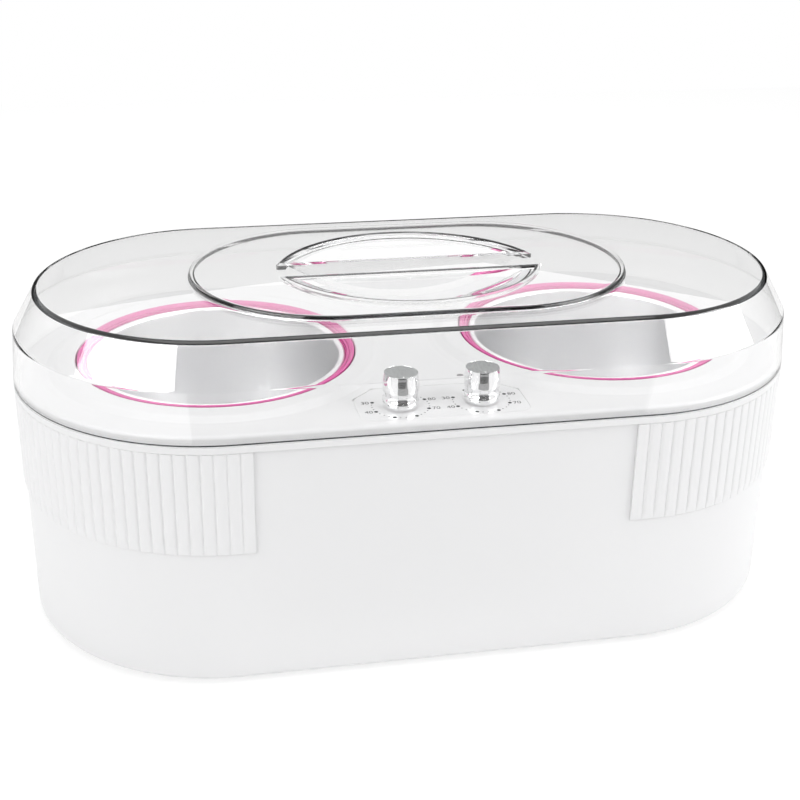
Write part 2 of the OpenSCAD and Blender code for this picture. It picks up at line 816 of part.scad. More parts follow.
// A cylinder with a waist above its rounded foot
module knob_profile() {
  r = knob_d/2;
  polygon(concat(
    [[skirt_hole_r, knob_z], [r - 1.1, knob_z], [r - 0.45, knob_z + 0.8], [r, knob_z + 2],
     [r + 0.1, knob_z + 3.2], [r - 0.1, knob_z + 4.4], [r - 0.45, knob_z + 5.5], [r - 0.5, knob_z + 6.1],
     [r - 0.3, knob_z + 6.9], [r - 0.15, knob_z + 7.7]],
    arc(r - 0.8, knob_z + knob_h - 0.8, 0.8, 0, 90, 4),
    [[r - cap_rim, knob_z + knob_h], [r - cap_rim, knob_z + knob_h - cap_t], [0, knob_z + knob_h - cap_t],
     [0, knob_z + skirt_hole_h], [skirt_hole_r, knob_z + skirt_hole_h]]));
}

module knob(s) color(chrome) at_knob(s) difference() {
  rotate_extrude($fn = 64) knob_profile();
  flatted(bore_r, flat_x + run_gap, knob_z + skirt_hole_h - cut, knob_z + skirt_hole_h + grip_bore_h);
}

module knob_cap(s) color(alloy) at_knob(s) {
  r = knob_d/2 - cap_rim - cap_gap;
  z = knob_z + knob_h - cap_t;
  difference() {
    rotate_extrude($fn = 64)
      polygon([[0, z], [r, z], [r, z + cap_t - 0.1], [r - 0.3, z + cap_t], [0, z + cap_t]]);
    translate([0, 1.5 - r, 0]) pin_hole(0.5, z + cap_t - 0.3, z + cap_t + cut);
  }
}

module pilot_lamps() color(black) for (s = [-1, 1]) translate([s*lamp_x, lamp_y, 0]) {
  pin_hole(lamp_r, deck_under - 0.5, deck_z + 0.2);
  pin_hole(lamp_r + lamp_body_wall, deck_under - lamp_body_h, deck_under);
}

// Mains inlet

module at_pins() {
  for (p = [[-pin_gap, -pin_drop/2], [pin_gap, -pin_drop/2], [0, pin_drop/2]])
    translate([p[0], 0, p[1]]) children();
}

module mains_inlet() color(black) at_inlet() difference() {
  union() {
    translate([-inlet_w/2, inlet_face - inlet_t, -inlet_h/2]) cube([inlet_w, inlet_t, inlet_h]);
    translate([-inlet_body_w/2, inlet_face - inlet_deep, -inlet_body_h/2])
      cube([inlet_body_w, inlet_deep, inlet_body_h]);
  }
  translate([-inlet_cavity_w/2, inlet_face - inlet_cavity_d, -inlet_cavity_h/2])
    cube([inlet_cavity_w, inlet_cavity_d + cut, inlet_cavity_h]);
  at_pins() translate([-pin_w/2 - run_gap, inlet_face - inlet_deep - cut, -pin_h/2 - run_gap])
    cube([pin_w + 2*run_gap, inlet_deep, pin_h + 2*run_gap]);
  for (s = [-1, 1]) translate([s*inlet_hole_x, 0, 0]) rotate([-90, 0, 0]) {
    pin_hole(screw_r + seat_gap, inlet_face - inlet_t - cut, inlet_face + cut);
    pin_hole(head_r + seat_gap, inlet_face - head_h, inlet_face + cut);
  }
}

module inlet_pins() color(brass) at_inlet() at_pins()
  translate([-pin_w/2, inlet_face - inlet_deep - tab_len, -pin_h/2])
    cube([pin_w, inlet_deep + tab_len - pin_short, pin_h]);

module inlet_screws() color(steel) at_inlet() for (s = [-1, 1])
  translate([s*inlet_hole_x, inlet_face - head_h, 0]) rotate([90, 0, 0]) screw_up(0, inlet_t + wall + 2.5);

module inlet_nuts() color(steel) at_inlet() for (s = [-1, 1])
  translate([s*inlet_hole_x, pocket_back, 0]) rotate([90, 0, 0]) difference() {
    cylinder(h = inlet_nut_h, r = inlet_nut_r, $fn = 6);
    pin_hole(screw_r + run_gap, -cut, inlet_nut_h + cut);
  }

// Terminal block

module terminal_block() color(white) translate([0, block_y, 0]) difference() {
  translate([-tb_w/2, -tb_d/2, plate_top]) cube([tb_w, tb_d, tb_h]);
  for (i = [-1:1]) translate([i*pole_pitch, 0, 0]) {
    pin_hole(pole_r, plate_top + tb_h - 5, plate_top + tb_h + cut);
    pin_hole(screw_r + sleeve_gap, plate_top + 8, plate_top + tb_h);
    for (f = [-1, 1]) flip_y(f) translate([0, tb_d/2 - 4, entry_z]) rotate([-90, 0, 0])
      cylinder(h = 4 + cut, r = entry_r, $fn = small_n);
  }
  for (x = [-pole_pitch/2, pole_pitch/2])
    translate([x, 0, 0]) pin_hole(screw_r + sleeve_gap, plate_top - cut, plate_top + tb_h + cut);
}

module terminal_screws() color(brass) translate([0, block_y, 0]) {
  for (i = [-1:1]) translate([i*pole_pitch, 0, 0]) {
    pin_hole(screw_r, plate_top + 8.5, plate_top + tb_h - 4);
    pin_hole(pole_r - sleeve_gap, plate_top + tb_h - 5 + 0.1, plate_top + tb_h - 2.5);
  }
  for (x = [-pole_pitch/2, pole_pitch/2]) translate([x, 0, 0]) {
    pin_hole(screw_r, plate_z + 0.3, plate_top + tb_h);
    pin_hole(head_r - 0.4, plate_top + tb_h, plate_top + tb_h + head_h);
  }
}

// Leads: round tubes swept along smooth routes through hand-set points

function unit(v) = v/norm(v);

function between(a, b, c, d, t) =
  0.5*(2*b + (c - a)*t + (2*a - 5*b + 4*c - d)*t*t + (3*b - a - 3*c + d)*t*t*t);

function route(p, n = 4) = concat(
  [for (i = [0:len(p) - 2], j = [0:n - 1])
    between(p[max(i - 1, 0)], p[i], p[i + 1], p[min(i + 2, len(p) - 1)], j/n)],
  [p[len(p) - 1]]);

function carried(t, u = [0.36, 0.48, 0.8], i = 0) =
  i >= len(t) ? [] : let (w = unit(u - (u*t[i])*t[i])) concat([w], carried(t, w, i + 1));

module lead(p) {
  path = route(p);
  m = len(path) - 1;
  n = lead_sides;
  last = len(p) - 1;
  ways = [for (i = [0:m]) unit(i == 0 ? p[1] - p[0] : i == m ? p[last] - p[last - 1]
    : path[i + 1] - path[i - 1])];
  ups = carried(ways);
  points = [for (i = [0:m], k = [0:n - 1])
    path[i] + lead_r*(cos(360*k/n)*ups[i] + sin(360*k/n)*cross(ways[i], ups[i]))];
  sides = [for (i = [0:m - 1], k = [0:n - 1], f = [0, 1]) let (k1 = (k + 1)%n)
    f == 0 ? [i*n + k, (i + 1)*n + k, i*n + k1] : [i*n + k1, (i + 1)*n + k, (i + 1)*n + k1]];
  polyhedron(points, concat(sides, [[for (k = [0:n - 1]) k]], [[for (k = [n - 1:-1:0]) m*n + k]]));
}

// Ends of the leads
lead_gap = 0.3;
lead_stub = 6;
pair_x = 1.1;
low_z = plate_top + 4.5;
tab_y = inlet_face - inlet_deep - tab_len - lead_gap;
front_y = block_y - tb_d/2 + 2;
back_y = block_y + tb_d/2 - 2;
blade_end_z = well_under - stud_h - cutout_flange_t - cutout_body_h - blade_len - lead_gap;
thermo_y = knob_y + block_d/2 + blade_len + lead_gap;
thermo_z = block_top - block_h + tab_rise + blade_t/2;
flange_x = pot_x - well_flange_r + 3;
flange_z = flange_top - well_t - lead_gap;

// Point in line with a band's terminal post, at distance d from its tip
function post_spot(s, drop, d) = let (r = band_out_r + post_len + d)
  [s*(pot_x - r*cos(lug_turn)), -r*sin(lug_turn), band_mid + drop];

// Two points that bring one of a pair of leads out of an entry of the terminal block to the front
function from_block(x, side) = [[x + side*pair_x, front_y, entry_z],
  [x + side*(pair_x + 0.8), front_y - lead_stub, entry_z]];

module supply_lead(x, x1, z) {
  lead([[x, tab_y, z], [x, tab_y - lead_stub, z], [(x + x1)/2, back_y + 12, entry_z + 6],
        [x1, back_y + lead_stub, entry_z], [x1, back_y, entry_z]]);
}

module live_leads() color("saddlebrown") {
  supply_lead(pin_gap, pole_pitch, inlet_z - pin_drop/2);
  lead(concat(from_block(pole_pitch, 1), [[12, 0, 20], [12, -24, 50], [11.5, -36, thermo_z - 9.5],
    [knob_x - tab_x, thermo_y + lead_stub, thermo_z], [knob_x - tab_x, thermo_y, thermo_z]]));
  lead(concat(from_block(pole_pitch, -1), [[7, 3, 27], [-3, -14, 46], [-10, -28, 68],
    [-11.5, -38, thermo_z - 7.5], [tab_x - knob_x, thermo_y + lead_stub, thermo_z],
    [tab_x - knob_x, thermo_y, thermo_z]]));
  for (s = [-1, 1]) {
    lead([[s*(knob_x + tab_x), thermo_y, thermo_z], [s*(knob_x + tab_x), thermo_y + 4, thermo_z - 0.5],
          [s*25, -44, thermo_z - 7.5], [s*27, -50, thermo_z - 19], [s*30, -54, 50], [s*41, -48, 18],
          [s*62, -22, low_z], [s*(pot_x - blade_x - 4), -4, low_z + 0.5],
          [s*(pot_x - blade_x), 0, blade_end_z - 5],
          [s*(pot_x - blade_x), 0, blade_end_z]]);
    lead([[s*(pot_x + blade_x), 0, blade_end_z], [s*(pot_x + blade_x), 0, blade_end_z - 5],
          [s*(pot_x + blade_x - 1), -6, low_z + 0.5], [s*76, -36, low_z], [s*48, -56, low_z + 0.5],
          [s*28, -52, low_z + 2],
          [s*18, -45, 24], [s*16, -38, 52], [s*18, -34, band_mid], post_spot(s, post_drop, lead_stub),
          post_spot(s, post_drop, lead_gap)]);
  }
}

module neutral_leads() color("royalblue") {
  supply_lead(-pin_gap, -pole_pitch, inlet_z - pin_drop/2);
  lead(concat(from_block(-pole_pitch, -1), [[-14, 0, 20], [-18, -24, band_mid - 30],
    post_spot(-1, -post_drop, lead_stub + 2), post_spot(-1, -post_drop, lead_gap)]));
  lead(concat(from_block(-pole_pitch, 1), [[-6, 5, 12], [7, -10, 13], [19, -24, band_mid - 38],
    post_spot(1, -post_drop, lead_stub + 2), post_spot(1, -post_drop, lead_gap)]));
}

module earth_leads() color("green") {
  supply_lead(0, 0, inlet_z + pin_drop/2);
  for (s = [-1, 1])
    lead(concat(from_block(0, s), [[s*2, 11, 14], [s*4, 9, 30], [s*9, 9, 62],
      [s*flange_x, 8, flange_z - 14], [s*flange_x, 8, flange_z - 7], [s*flange_x, 8, flange_z]]));
}

housing();
top_cover();
control_panel();
base_plate();
feet();
base_screws();
cover_screws();
grip_band(-1);  // grip_band_left
grip_band(1);  // grip_band_right
lid();
wax_pot(-1);  // wax_pot_left
wax_pot(1);  // wax_pot_right
pot_ring(-1);  // pot_ring_left
pot_ring(1);  // pot_ring_right
heater_well(-1);  // heater_well_left
heater_well(1);  // heater_well_right
well_gasket(-1);  // well_gasket_left
well_gasket(1);  // well_gasket_right
well_screws();
heater_band(-1);  // heater_band_left
heater_band(1);  // heater_band_right
clamp_screws();
safety_cutout(-1);  // safety_cutout_left
safety_cutout(1);  // safety_cutout_right
cutout_screws();
thermostat_base(-1);  // thermostat_base_left
thermostat_base(1);  // thermostat_base_right
thermostat_bushing(-1);  // thermostat_bushing_left
thermostat_bushing(1);  // thermostat_bushing_right
thermostat_nuts();
control_shaft(-1);  // control_shaft_left
control_shaft(1);  // control_shaft_right
knob(-1);  // knob_left
knob(1);  // knob_right
knob_cap(-1);  // knob_cap_left
knob_cap(1);  // knob_cap_right
pilot_lamps();
mains_inlet();
inlet_pins();
inlet_screws();
inlet_nuts();
terminal_block();
terminal_screws();
live_leads();
neutral_leads();
earth_leads();
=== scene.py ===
import json
import math

import bmesh
import bpy
import numpy as np
from mathutils import Matrix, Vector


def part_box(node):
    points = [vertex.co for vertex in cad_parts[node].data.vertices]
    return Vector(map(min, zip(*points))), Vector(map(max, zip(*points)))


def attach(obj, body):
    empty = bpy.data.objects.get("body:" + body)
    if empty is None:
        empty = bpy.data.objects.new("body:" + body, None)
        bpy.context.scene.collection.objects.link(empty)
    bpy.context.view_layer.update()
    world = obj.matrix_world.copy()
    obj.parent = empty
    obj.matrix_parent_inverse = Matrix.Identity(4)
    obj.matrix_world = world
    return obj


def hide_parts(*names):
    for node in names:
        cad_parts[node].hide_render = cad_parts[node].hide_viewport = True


bl_info = {
    "name": "Double wax warmer",
    "version": (1, 0, 0),
    "blender": (4, 5, 0),
    "location": "View3D > Sidebar > Warmer",
    "description": "Dresses the packed wax warmer with its finished surfaces and materials",
    "category": "Object",
}

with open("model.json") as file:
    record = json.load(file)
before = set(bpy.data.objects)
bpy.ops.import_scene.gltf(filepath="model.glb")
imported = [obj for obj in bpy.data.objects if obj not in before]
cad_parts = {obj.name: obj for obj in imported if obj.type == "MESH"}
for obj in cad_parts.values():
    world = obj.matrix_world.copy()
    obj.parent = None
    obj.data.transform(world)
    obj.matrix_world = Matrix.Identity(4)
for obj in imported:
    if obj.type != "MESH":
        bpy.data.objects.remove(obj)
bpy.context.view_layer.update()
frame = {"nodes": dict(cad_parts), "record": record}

MM = 0.001
LID_LOW, LID_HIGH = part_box("lid")
PANEL_LOW, PANEL_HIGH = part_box("control_panel")
COLLAR_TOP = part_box("top_cover")[1].z
BODY_R = LID_HIGH.y
POT_X = LID_HIGH.x - BODY_R
COLLAR_R = 80.05*MM  # outer foot of a collar on the deck
SEAT_R = 58.5*MM  # inside a ring, over the pot's rolled edge
NECK_R = 59.1*MM  # outside of a ring's neck, in the collar
SHELF_R = 56.8*MM  # inside a ring, under the pot's rolled edge
KNOB_R = 7.75*MM
AXIS = 0.001*MM  # radius at which a turned profile ends

# Finishes of the lid, by their place in its list of materials. The edge, brim, step and back finishes are
# painted dark and grey lines, a painted reflection of dark surroundings along the clear edges
PLAIN, PAINTED_EDGE, PAINTED_BRIM, BOWL, PAINTED_BACK, PAINTED_STEP = range(6)


# Surfaces

def grid_faces(rows, cols, wrap=False):
    """Quads of a grid of rows by cols points; wrap also joins the last column to the first."""
    i, j = np.meshgrid(np.arange(rows - 1), np.arange(cols if wrap else cols - 1), indexing="ij")
    k = (j + 1) % cols
    return np.stack([i*cols + j, i*cols + k, (i + 1)*cols + k, (i + 1)*cols + j], -1).reshape(-1, 4)


def surface(name, patches, body, slot, replaces=(), sharp=35, weld=2e-6, finishes=None):
    """One object from patches, each a grid of points, whether it wraps, and the finish of each row of faces.

    Points closer than weld become one, normals are turned outwards, and edges sharper than sharp degrees
    stay crisp. The modifier keeps flat faces evenly lit beside their fillets.
    """
    points, faces, marks, start = [], [], [], 0
    for grid, wrap, mark in patches:
        rows, cols = grid.shape[:2]
        quads = grid_faces(rows, cols, wrap) + start
        points.append(grid.reshape(-1, 3))
        faces.append(quads)
        marks.append(np.repeat(np.broadcast_to(mark, rows - 1), len(quads)//(rows - 1)))
        start += rows*cols
    mesh = bpy.data.meshes.new(name)
    mesh.from_pydata(np.concatenate(points).tolist(), [], np.concatenate(faces).tolist())
    mesh.polygons.foreach_set("material_index", np.concatenate(marks).astype(np.int32))
    work = bmesh.new()
    work.from_mesh(mesh)
    bmesh.ops.remove_doubles(work, verts=work.verts, dist=weld)
    bmesh.ops.dissolve_degenerate(work, edges=work.edges, dist=weld)
    bmesh.ops.recalc_face_normals(work, faces=work.faces)
    work.to_mesh(mesh)
    work.free()
    mesh.polygons.foreach_set("use_smooth", np.ones(len(mesh.polygons), bool))
    mesh.set_sharp_from_angle(angle=math.radians(sharp))
    piece = bpy.data.objects.new(name, mesh)
    bpy.context.scene.collection.objects.link(piece)
    even = piece.modifiers.new("Even shading", "WEIGHTED_NORMAL")
    even.keep_sharp = True
    for title in finishes or [slot]:
        mesh.materials.append(finish(title))
    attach(piece, body)
    if replaces:
        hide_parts(*replaces)


def filleted(corners, radii, steps=6):
    """An open outline whose inner corners are arcs of the given radii, each tangent to its two legs."""
    corners = np.asarray(corners, float)
    out = [corners[:1]]
    for before, corner, after, radius in zip(corners[:-2], corners[1:-1], corners[2:], radii):
        a = (before - corner)/np.linalg.norm(before - corner)
        b = (after - corner)/np.linalg.norm(after - corner)
        half = math.acos(np.clip(a @ b, -1, 1))/2
        if radius <= 0 or half > math.pi/2 - 1e-3:
            out.append(corner[None])
            continue
        middle = corner + (a + b)/np.linalg.norm(a + b)*radius/math.sin(half)
        start = corner + a*radius/math.tan(half) - middle
        end = corner + b*radius/math.tan(half) - middle
        turn = math.atan2(start[0]*end[1] - start[1]*end[0], start @ end)
        angle = math.atan2(start[1], start[0]) + np.linspace(0, turn, steps + 1)
        out.append(middle + radius*np.stack([np.cos(angle), np.sin(angle)], 1))
    out.append(corners[-1:])
    return np.concatenate(out)


def turned(profile, x, y, around):
    """A profile of radius and height turned about the upright axis through x, y, in so many steps around."""
    angle = np.arange(around)*2*math.pi/around
    r, z = profile[:, :1], profile[:, 1:]
    return np.stack(np.broadcast_arrays(x + r*np.cos(angle), y + r*np.sin(angle), z), -1)


def half_obround(half, radius, height, spots):
    """Front half of an obround at each spot.

    Spots 0 to 1 run round the left quarter, 1 to 2 along the straight and 2 to 3 round the right quarter.
    """
    left, middle, right = np.clip(spots, 0, 1), np.clip(spots - 1, 0, 1), np.clip(spots - 2, 0, 1)
    angle = math.pi + (left + right)*math.pi/2
    x = half*(2*middle - 1) + radius*np.cos(angle)
    return np.stack(np.broadcast_arrays(x, radius*np.sin(angle), height), -1)


def mirrored(grid):
    """The same grid at the back of the body."""
    return grid*np.array([1, -1, 1])


# Shader maths

class Value:
    """A socket that Python arithmetic works on: each step adds a Math node to its material."""

    def __init__(self, maker, socket):
        self.maker, self.socket = maker, socket

    def math(self, operation, a, b=None):
        return self.maker.node("ShaderNodeMath", {"operation": operation}, {0: a} if b is None else {0: a, 1: b})

    def __add__(self, other): return self.math("ADD", self, other)
    def __radd__(self, other): return self.math("ADD", other, self)
    def __sub__(self, other): return self.math("SUBTRACT", self, other)
    def __rsub__(self, other): return self.math("SUBTRACT", other, self)
    def __mul__(self, other): return self.math("MULTIPLY", self, other)
    def __rmul__(self, other): return self.math("MULTIPLY", other, self)
    def __truediv__(self, other): return self.math("DIVIDE", self, other)
    def __gt__(self, other): return self.math("GREATER_THAN", self, other)
    def __lt__(self, other): return self.math("LESS_THAN", self, other)
    def __abs__(self): return self.math("ABSOLUTE", self)
    def sine(self): return self.math("SINE", self)
    def root(self): return self.math("SQRT", self)


class Finish:
    """A node tree under construction, of a material or the world."""

    def __init__(self, tree):
        self.tree = tree
        tree.nodes.clear()

    def node(self, kind, settings=None, sockets=None, output=0):
        """Adds a node: its settings come first, then the values or links of its sockets. Returns one output."""
        made = self.tree.nodes.new(kind)
        for key, value in (settings or {}).items():
            setattr(made, key, value)
        for key, value in (sockets or {}).items():
            if isinstance(value, Value):
                self.tree.links.new(value.socket, made.inputs[key])
            else:
                made.inputs[key].default_value = value
        return Value(self, made.outputs[output]) if made.outputs else made

    def split(self, vector):
        """The three components of a vector."""
        parts = self.node("ShaderNodeSeparateXYZ", {}, {0: vector}).socket.node
        return [Value(self, part) for part in parts.outputs]

    def place(self):
        """Object coordinates in metres, as three values."""
        self.spot = self.node("ShaderNodeTexCoord", output=3)
        return self.split(self.spot)

    def rays(self, *kinds):
        """For each kind of ray, 1 where such a ray arrives and else 0."""
        path = self.node("ShaderNodeLightPath").socket.node
        return [Value(self, path.outputs["Is " + kind + " Ray"]) for kind in kinds]

    def noise(self, scale, detail=3.0, roughness=0.5, stretch=(1, 1, 1)):
        """Noise from 0 to 1 in Object coordinates; scale counts blobs per metre."""
        vector = self.node("ShaderNodeMapping", sockets={"Vector": self.spot, "Scale": stretch})
        return self.node("ShaderNodeTexNoise",
                         sockets={"Vector": vector, "Scale": scale, "Detail": detail, "Roughness": roughness})

    def blend(self, mask, low, high):
        """A colour that goes from low to high with the mask."""
        return self.node("ShaderNodeMix", {"data_type": "RGBA"}, {0: mask, 6: (*low, 1), 7: (*high, 1)}, 2)

    def bump(self, height, depth, strength=1.0, normal=None):
        """A normal from a height map whose full swing is depth metres."""
        sockets = {"Height": height, "Distance": depth, "Strength": strength}
        if normal is not None:
            sockets["Normal"] = normal
        return self.node("ShaderNodeBump", {}, sockets)


def between(value, low, high):
    """1 where a value lies between two bounds, else 0."""
    return (value > low)*(value < high)


def scaled(colour, factor):
    """A colour times a number."""
    return tuple(part*factor for part in colour)


def finish(name):
    """The material of a finish, made when first asked for; the frame's own materials have the bare names."""
    full = "finish_" + name
    return bpy.data.materials.get(full) or bpy.data.materials.new(full)


def shade(name, draw):
    """A material whose Principled shader gets the sockets that draw works out."""
    material = finish(name)
    material.use_nodes = True
    f = Finish(material.node_tree)
    f.x, f.y, f.z = f.place()
    f.node("ShaderNodeOutputMaterial", {}, {"Surface": f.node("ShaderNodeBsdfPrincipled", {}, draw(f))})


def dressed(node, material):
    """Gives a CAD node its material."""
    slots = frame["nodes"][node].material_slots
    if not slots:
        frame["nodes"][node].data.materials.append(material)
    for slot in slots:
        slot.material = material


# Settings

class WARMER_PG_lid(bpy.types.PropertyGroup):
    wall: bpy.props.FloatProperty(
        name="Wall", description="Thickness of the clear plastic", default=2.2*MM, unit="LENGTH")
    corner_in: bpy.props.FloatProperty(
        name="Corner inset", description="How far the skirt leans in at its corner", default=1.8*MM,
        unit="LENGTH")
    corner_up: bpy.props.FloatProperty(
        name="Corner height", description="Height of the corner over the lower edge", default=23*MM,
        unit="LENGTH")
    top_in: bpy.props.FloatProperty(
        name="Top inset", description="How far the edge of the flat top lies in", default=12.1*MM, unit="LENGTH")
    platform_up: bpy.props.FloatProperty(
        name="Platform rise", description="Height of the oval platform", default=2*MM, unit="LENGTH")
    platform_len: bpy.props.FloatProperty(
        name="Platform length", description="Length of the oval platform", default=200*MM, unit="LENGTH")
    platform_deep: bpy.props.FloatProperty(
        name="Platform depth", description="Depth of the oval platform", default=127*MM, unit="LENGTH")
    bar: bpy.props.FloatProperty(
        name="Grip bar", description="Width of the bar between the finger wells", default=20*MM, unit="LENGTH")
    well_len: bpy.props.FloatProperty(
        name="Well length", description="Length of a finger well along the bar", default=114*MM, unit="LENGTH")
    well_reach: bpy.props.FloatProperty(
        name="Well reach", description="Reach of a finger well from the bar's middle", default=49*MM,
        unit="LENGTH")
    well_deep: bpy.props.FloatProperty(
        name="Well depth", description="Depth of a finger well", default=18*MM, unit="LENGTH")
    rim_wide: bpy.props.FloatProperty(
        name="Well rim", description="Width of the shallow rim of a finger well", default=6*MM, unit="LENGTH")
    rim_deep: bpy.props.FloatProperty(
        name="Well rim depth", description="Depth of the shallow rim", default=2*MM, unit="LENGTH")
    corner_r: bpy.props.FloatProperty(
        name="Corner radius", description="Rounding between skirt and shoulder", default=3.2*MM, unit="LENGTH")
    edge_r: bpy.props.FloatProperty(
        name="Edge radius", description="Rounding between shoulder and top", default=2.6*MM, unit="LENGTH")
    # The well line is a painted dark line round the well's brim, a painted reflection of dark surroundings
    line: bpy.props.FloatProperty(
        name="Well line", description="Width of the line round a finger well", default=0.9*MM, unit="LENGTH")


class WARMER_PG_bands(bpy.types.PropertyGroup):
    pitch: bpy.props.FloatProperty(
        name="Rib pitch", description="From one rib to the next", default=5.45*MM, unit="LENGTH")
    groove: bpy.props.FloatProperty(
        name="Groove depth", description="How deep the grooves between ribs are", default=0.5*MM, unit="LENGTH")
    crown: bpy.props.FloatProperty(
        name="Rib crown", description="How far a rib's face is rounded", default=0.2*MM, unit="LENGTH")
    tail: bpy.props.FloatProperty(
        name="Tail", description="Straight length past the round end", default=7.5*MM, unit="LENGTH")
    chamfer: bpy.props.FloatProperty(
        name="Lower lead", description="Height of the slope at the lower edge", default=4*MM, unit="LENGTH")


class WARMER_PG_dials(bpy.types.PropertyGroup):
    ring: bpy.props.FloatProperty(
        name="Dot circle", description="Radius of the circle of dots round a knob", default=12.2*MM,
        unit="LENGTH")
    dot: bpy.props.FloatProperty(name="Dot", description="Radius of a dot", default=0.85*MM, unit="LENGTH")
    number: bpy.props.FloatProperty(
        name="Number height", description="Height of the numbers", default=2.5*MM, unit="LENGTH")
    lift: bpy.props.FloatProperty(
        name="Plate lift", description="How far the dial plate is filled up to the deck", default=0.36*MM,
        unit="LENGTH")
    rim: bpy.props.FloatProperty(
        name="Ring rim", description="Height of a pot ring over its collar", default=0.3*MM, unit="LENGTH")


class WARMER_PG_colours(bpy.types.PropertyGroup):
    white: bpy.props.FloatVectorProperty(
        name="White", description="Housing plastic", default=(0.83, 0.83, 0.835), subtype="COLOR", min=0, max=1)
    pink: bpy.props.FloatVectorProperty(
        name="Pink", description="Rings round the pots", default=(0.76, 0.13, 0.40), subtype="COLOR",
        min=0, max=1)
    pot: bpy.props.FloatVectorProperty(
        name="Pot", description="Spun aluminium", default=(0.92, 0.92, 0.925), subtype="COLOR", min=0, max=1)
    print_ink: bpy.props.FloatVectorProperty(
        name="Ink", description="Printed marks of the dials", default=(0.03, 0.03, 0.032), subtype="COLOR",
        min=0, max=1)


class WARMER_PG_stage(bpy.types.PropertyGroup):
    sky: bpy.props.FloatProperty(name="Sky", description="Strength of the plain light all round", default=0.5)
    boxes: bpy.props.FloatProperty(
        name="Soft boxes", description="How much brighter gloss sees the boxes at both sides", default=6.0)
    top_box: bpy.props.FloatProperty(
        name="Top box", description="Power of the soft lamp overhead", default=15.0, unit="POWER")
    side_boxes: bpy.props.FloatProperty(
        name="Side boxes", description="Power of the soft lamps at both sides", default=6.0, unit="POWER")
    distance: bpy.props.FloatProperty(
        name="Distance", description="From the camera to its target", default=644.7*MM, unit="LENGTH")
    azimuth: bpy.props.FloatProperty(
        name="Azimuth", description="Camera's turn from the front", default=math.radians(-11.6),
        subtype="ANGLE")
    elevation: bpy.props.FloatProperty(
        name="Elevation", description="Camera's rise over the floor", default=math.radians(23.9),
        subtype="ANGLE")
    roll: bpy.props.FloatProperty(
        name="Roll", description="Camera's turn about its own axis", default=math.radians(0.9),
        subtype="ANGLE")
    focal: bpy.props.FloatProperty(name="Focal length", description="In millimetres", default=60.75)


# Lid

def lid_loft(lid, grow):
    """Front half of the lid up to its platform, grow inside its outer face, and the finish of each row.

    Rows of obrounds run from the lower edge up the skirt and the shoulder, over the flat top and onto the
    platform. Only the outer skin has the small chamfer at its lower edge.
    """
    outside = not grow
    low, top, level = LID_LOW.z, LID_HIGH.z - lid.platform_up, LID_HIGH.z
    lean = math.atan2(lid.corner_in, lid.corner_up)
    slope = math.atan2(lid.top_in - lid.corner_in, top - low - lid.corner_up)
    outline = [np.array([BODY_R - grow/math.cos(lean), low])]
    for corner, a, b in (([BODY_R - lid.corner_in, low + lid.corner_up], lean, slope),
                         ([BODY_R - lid.top_in, top], slope, math.pi/2)):
        na, nb = np.array([math.cos(a), math.sin(a)]), np.array([math.cos(b), math.sin(b)])
        outline.append(np.array(corner) - grow*(na + nb)/(1 + na @ nb))
    onto_top, beside = 20*MM, 2*MM
    outline.append(np.array([BODY_R - lid.top_in - onto_top, top - grow]))
    radii = (lid.corner_r, lid.edge_r) if outside else (lid.corner_r/2, lid.edge_r/4)
    side = filleted(outline, radii, 8)[:-1]
    # The fillet from the shoulder into the top gets the painted dark edge line
    marks = [PLAIN]*10 + [PAINTED_EDGE]*8
    if outside:
        foot = side[0, 0]
        chamfer = [[foot - 0.3*MM, low], [foot, low + 0.35*MM], [foot, low + 0.9*MM]]
        side = np.concatenate([chamfer, side[1:]])
        # The foot's chamfer also gets the painted dark edge line
        marks = [PAINTED_EDGE, PAINTED_EDGE] + marks
    edge_r, wide = lid.platform_deep/2, lid.platform_len/2 - lid.platform_deep/2
    step = np.array([[edge_r - grow + beside, top - grow], [edge_r - grow, top - grow],
                     [edge_r - grow, level - grow], [edge_r - grow - beside, level - grow]])
    rise = filleted(step, (0.5*MM, 0.9*MM) if outside else (0.5*MM, 0.3*MM), 5)
    # The platform's riser gets the painted dark step line
    marks += [PLAIN]*7 + [PAINTED_STEP]*6 + [PLAIN]
    rows = np.concatenate([np.insert(side, 0, POT_X, 1), np.insert(rise, 0, wide, 1)])
    spots = np.concatenate([np.linspace(0, 1, 49)[:-1], np.linspace(1, 2, 25)[:-1], np.linspace(2, 3, 49)])
    return half_obround(rows[:, :1], rows[:, 1:2], rows[:, 2:3], spots[None]), marks


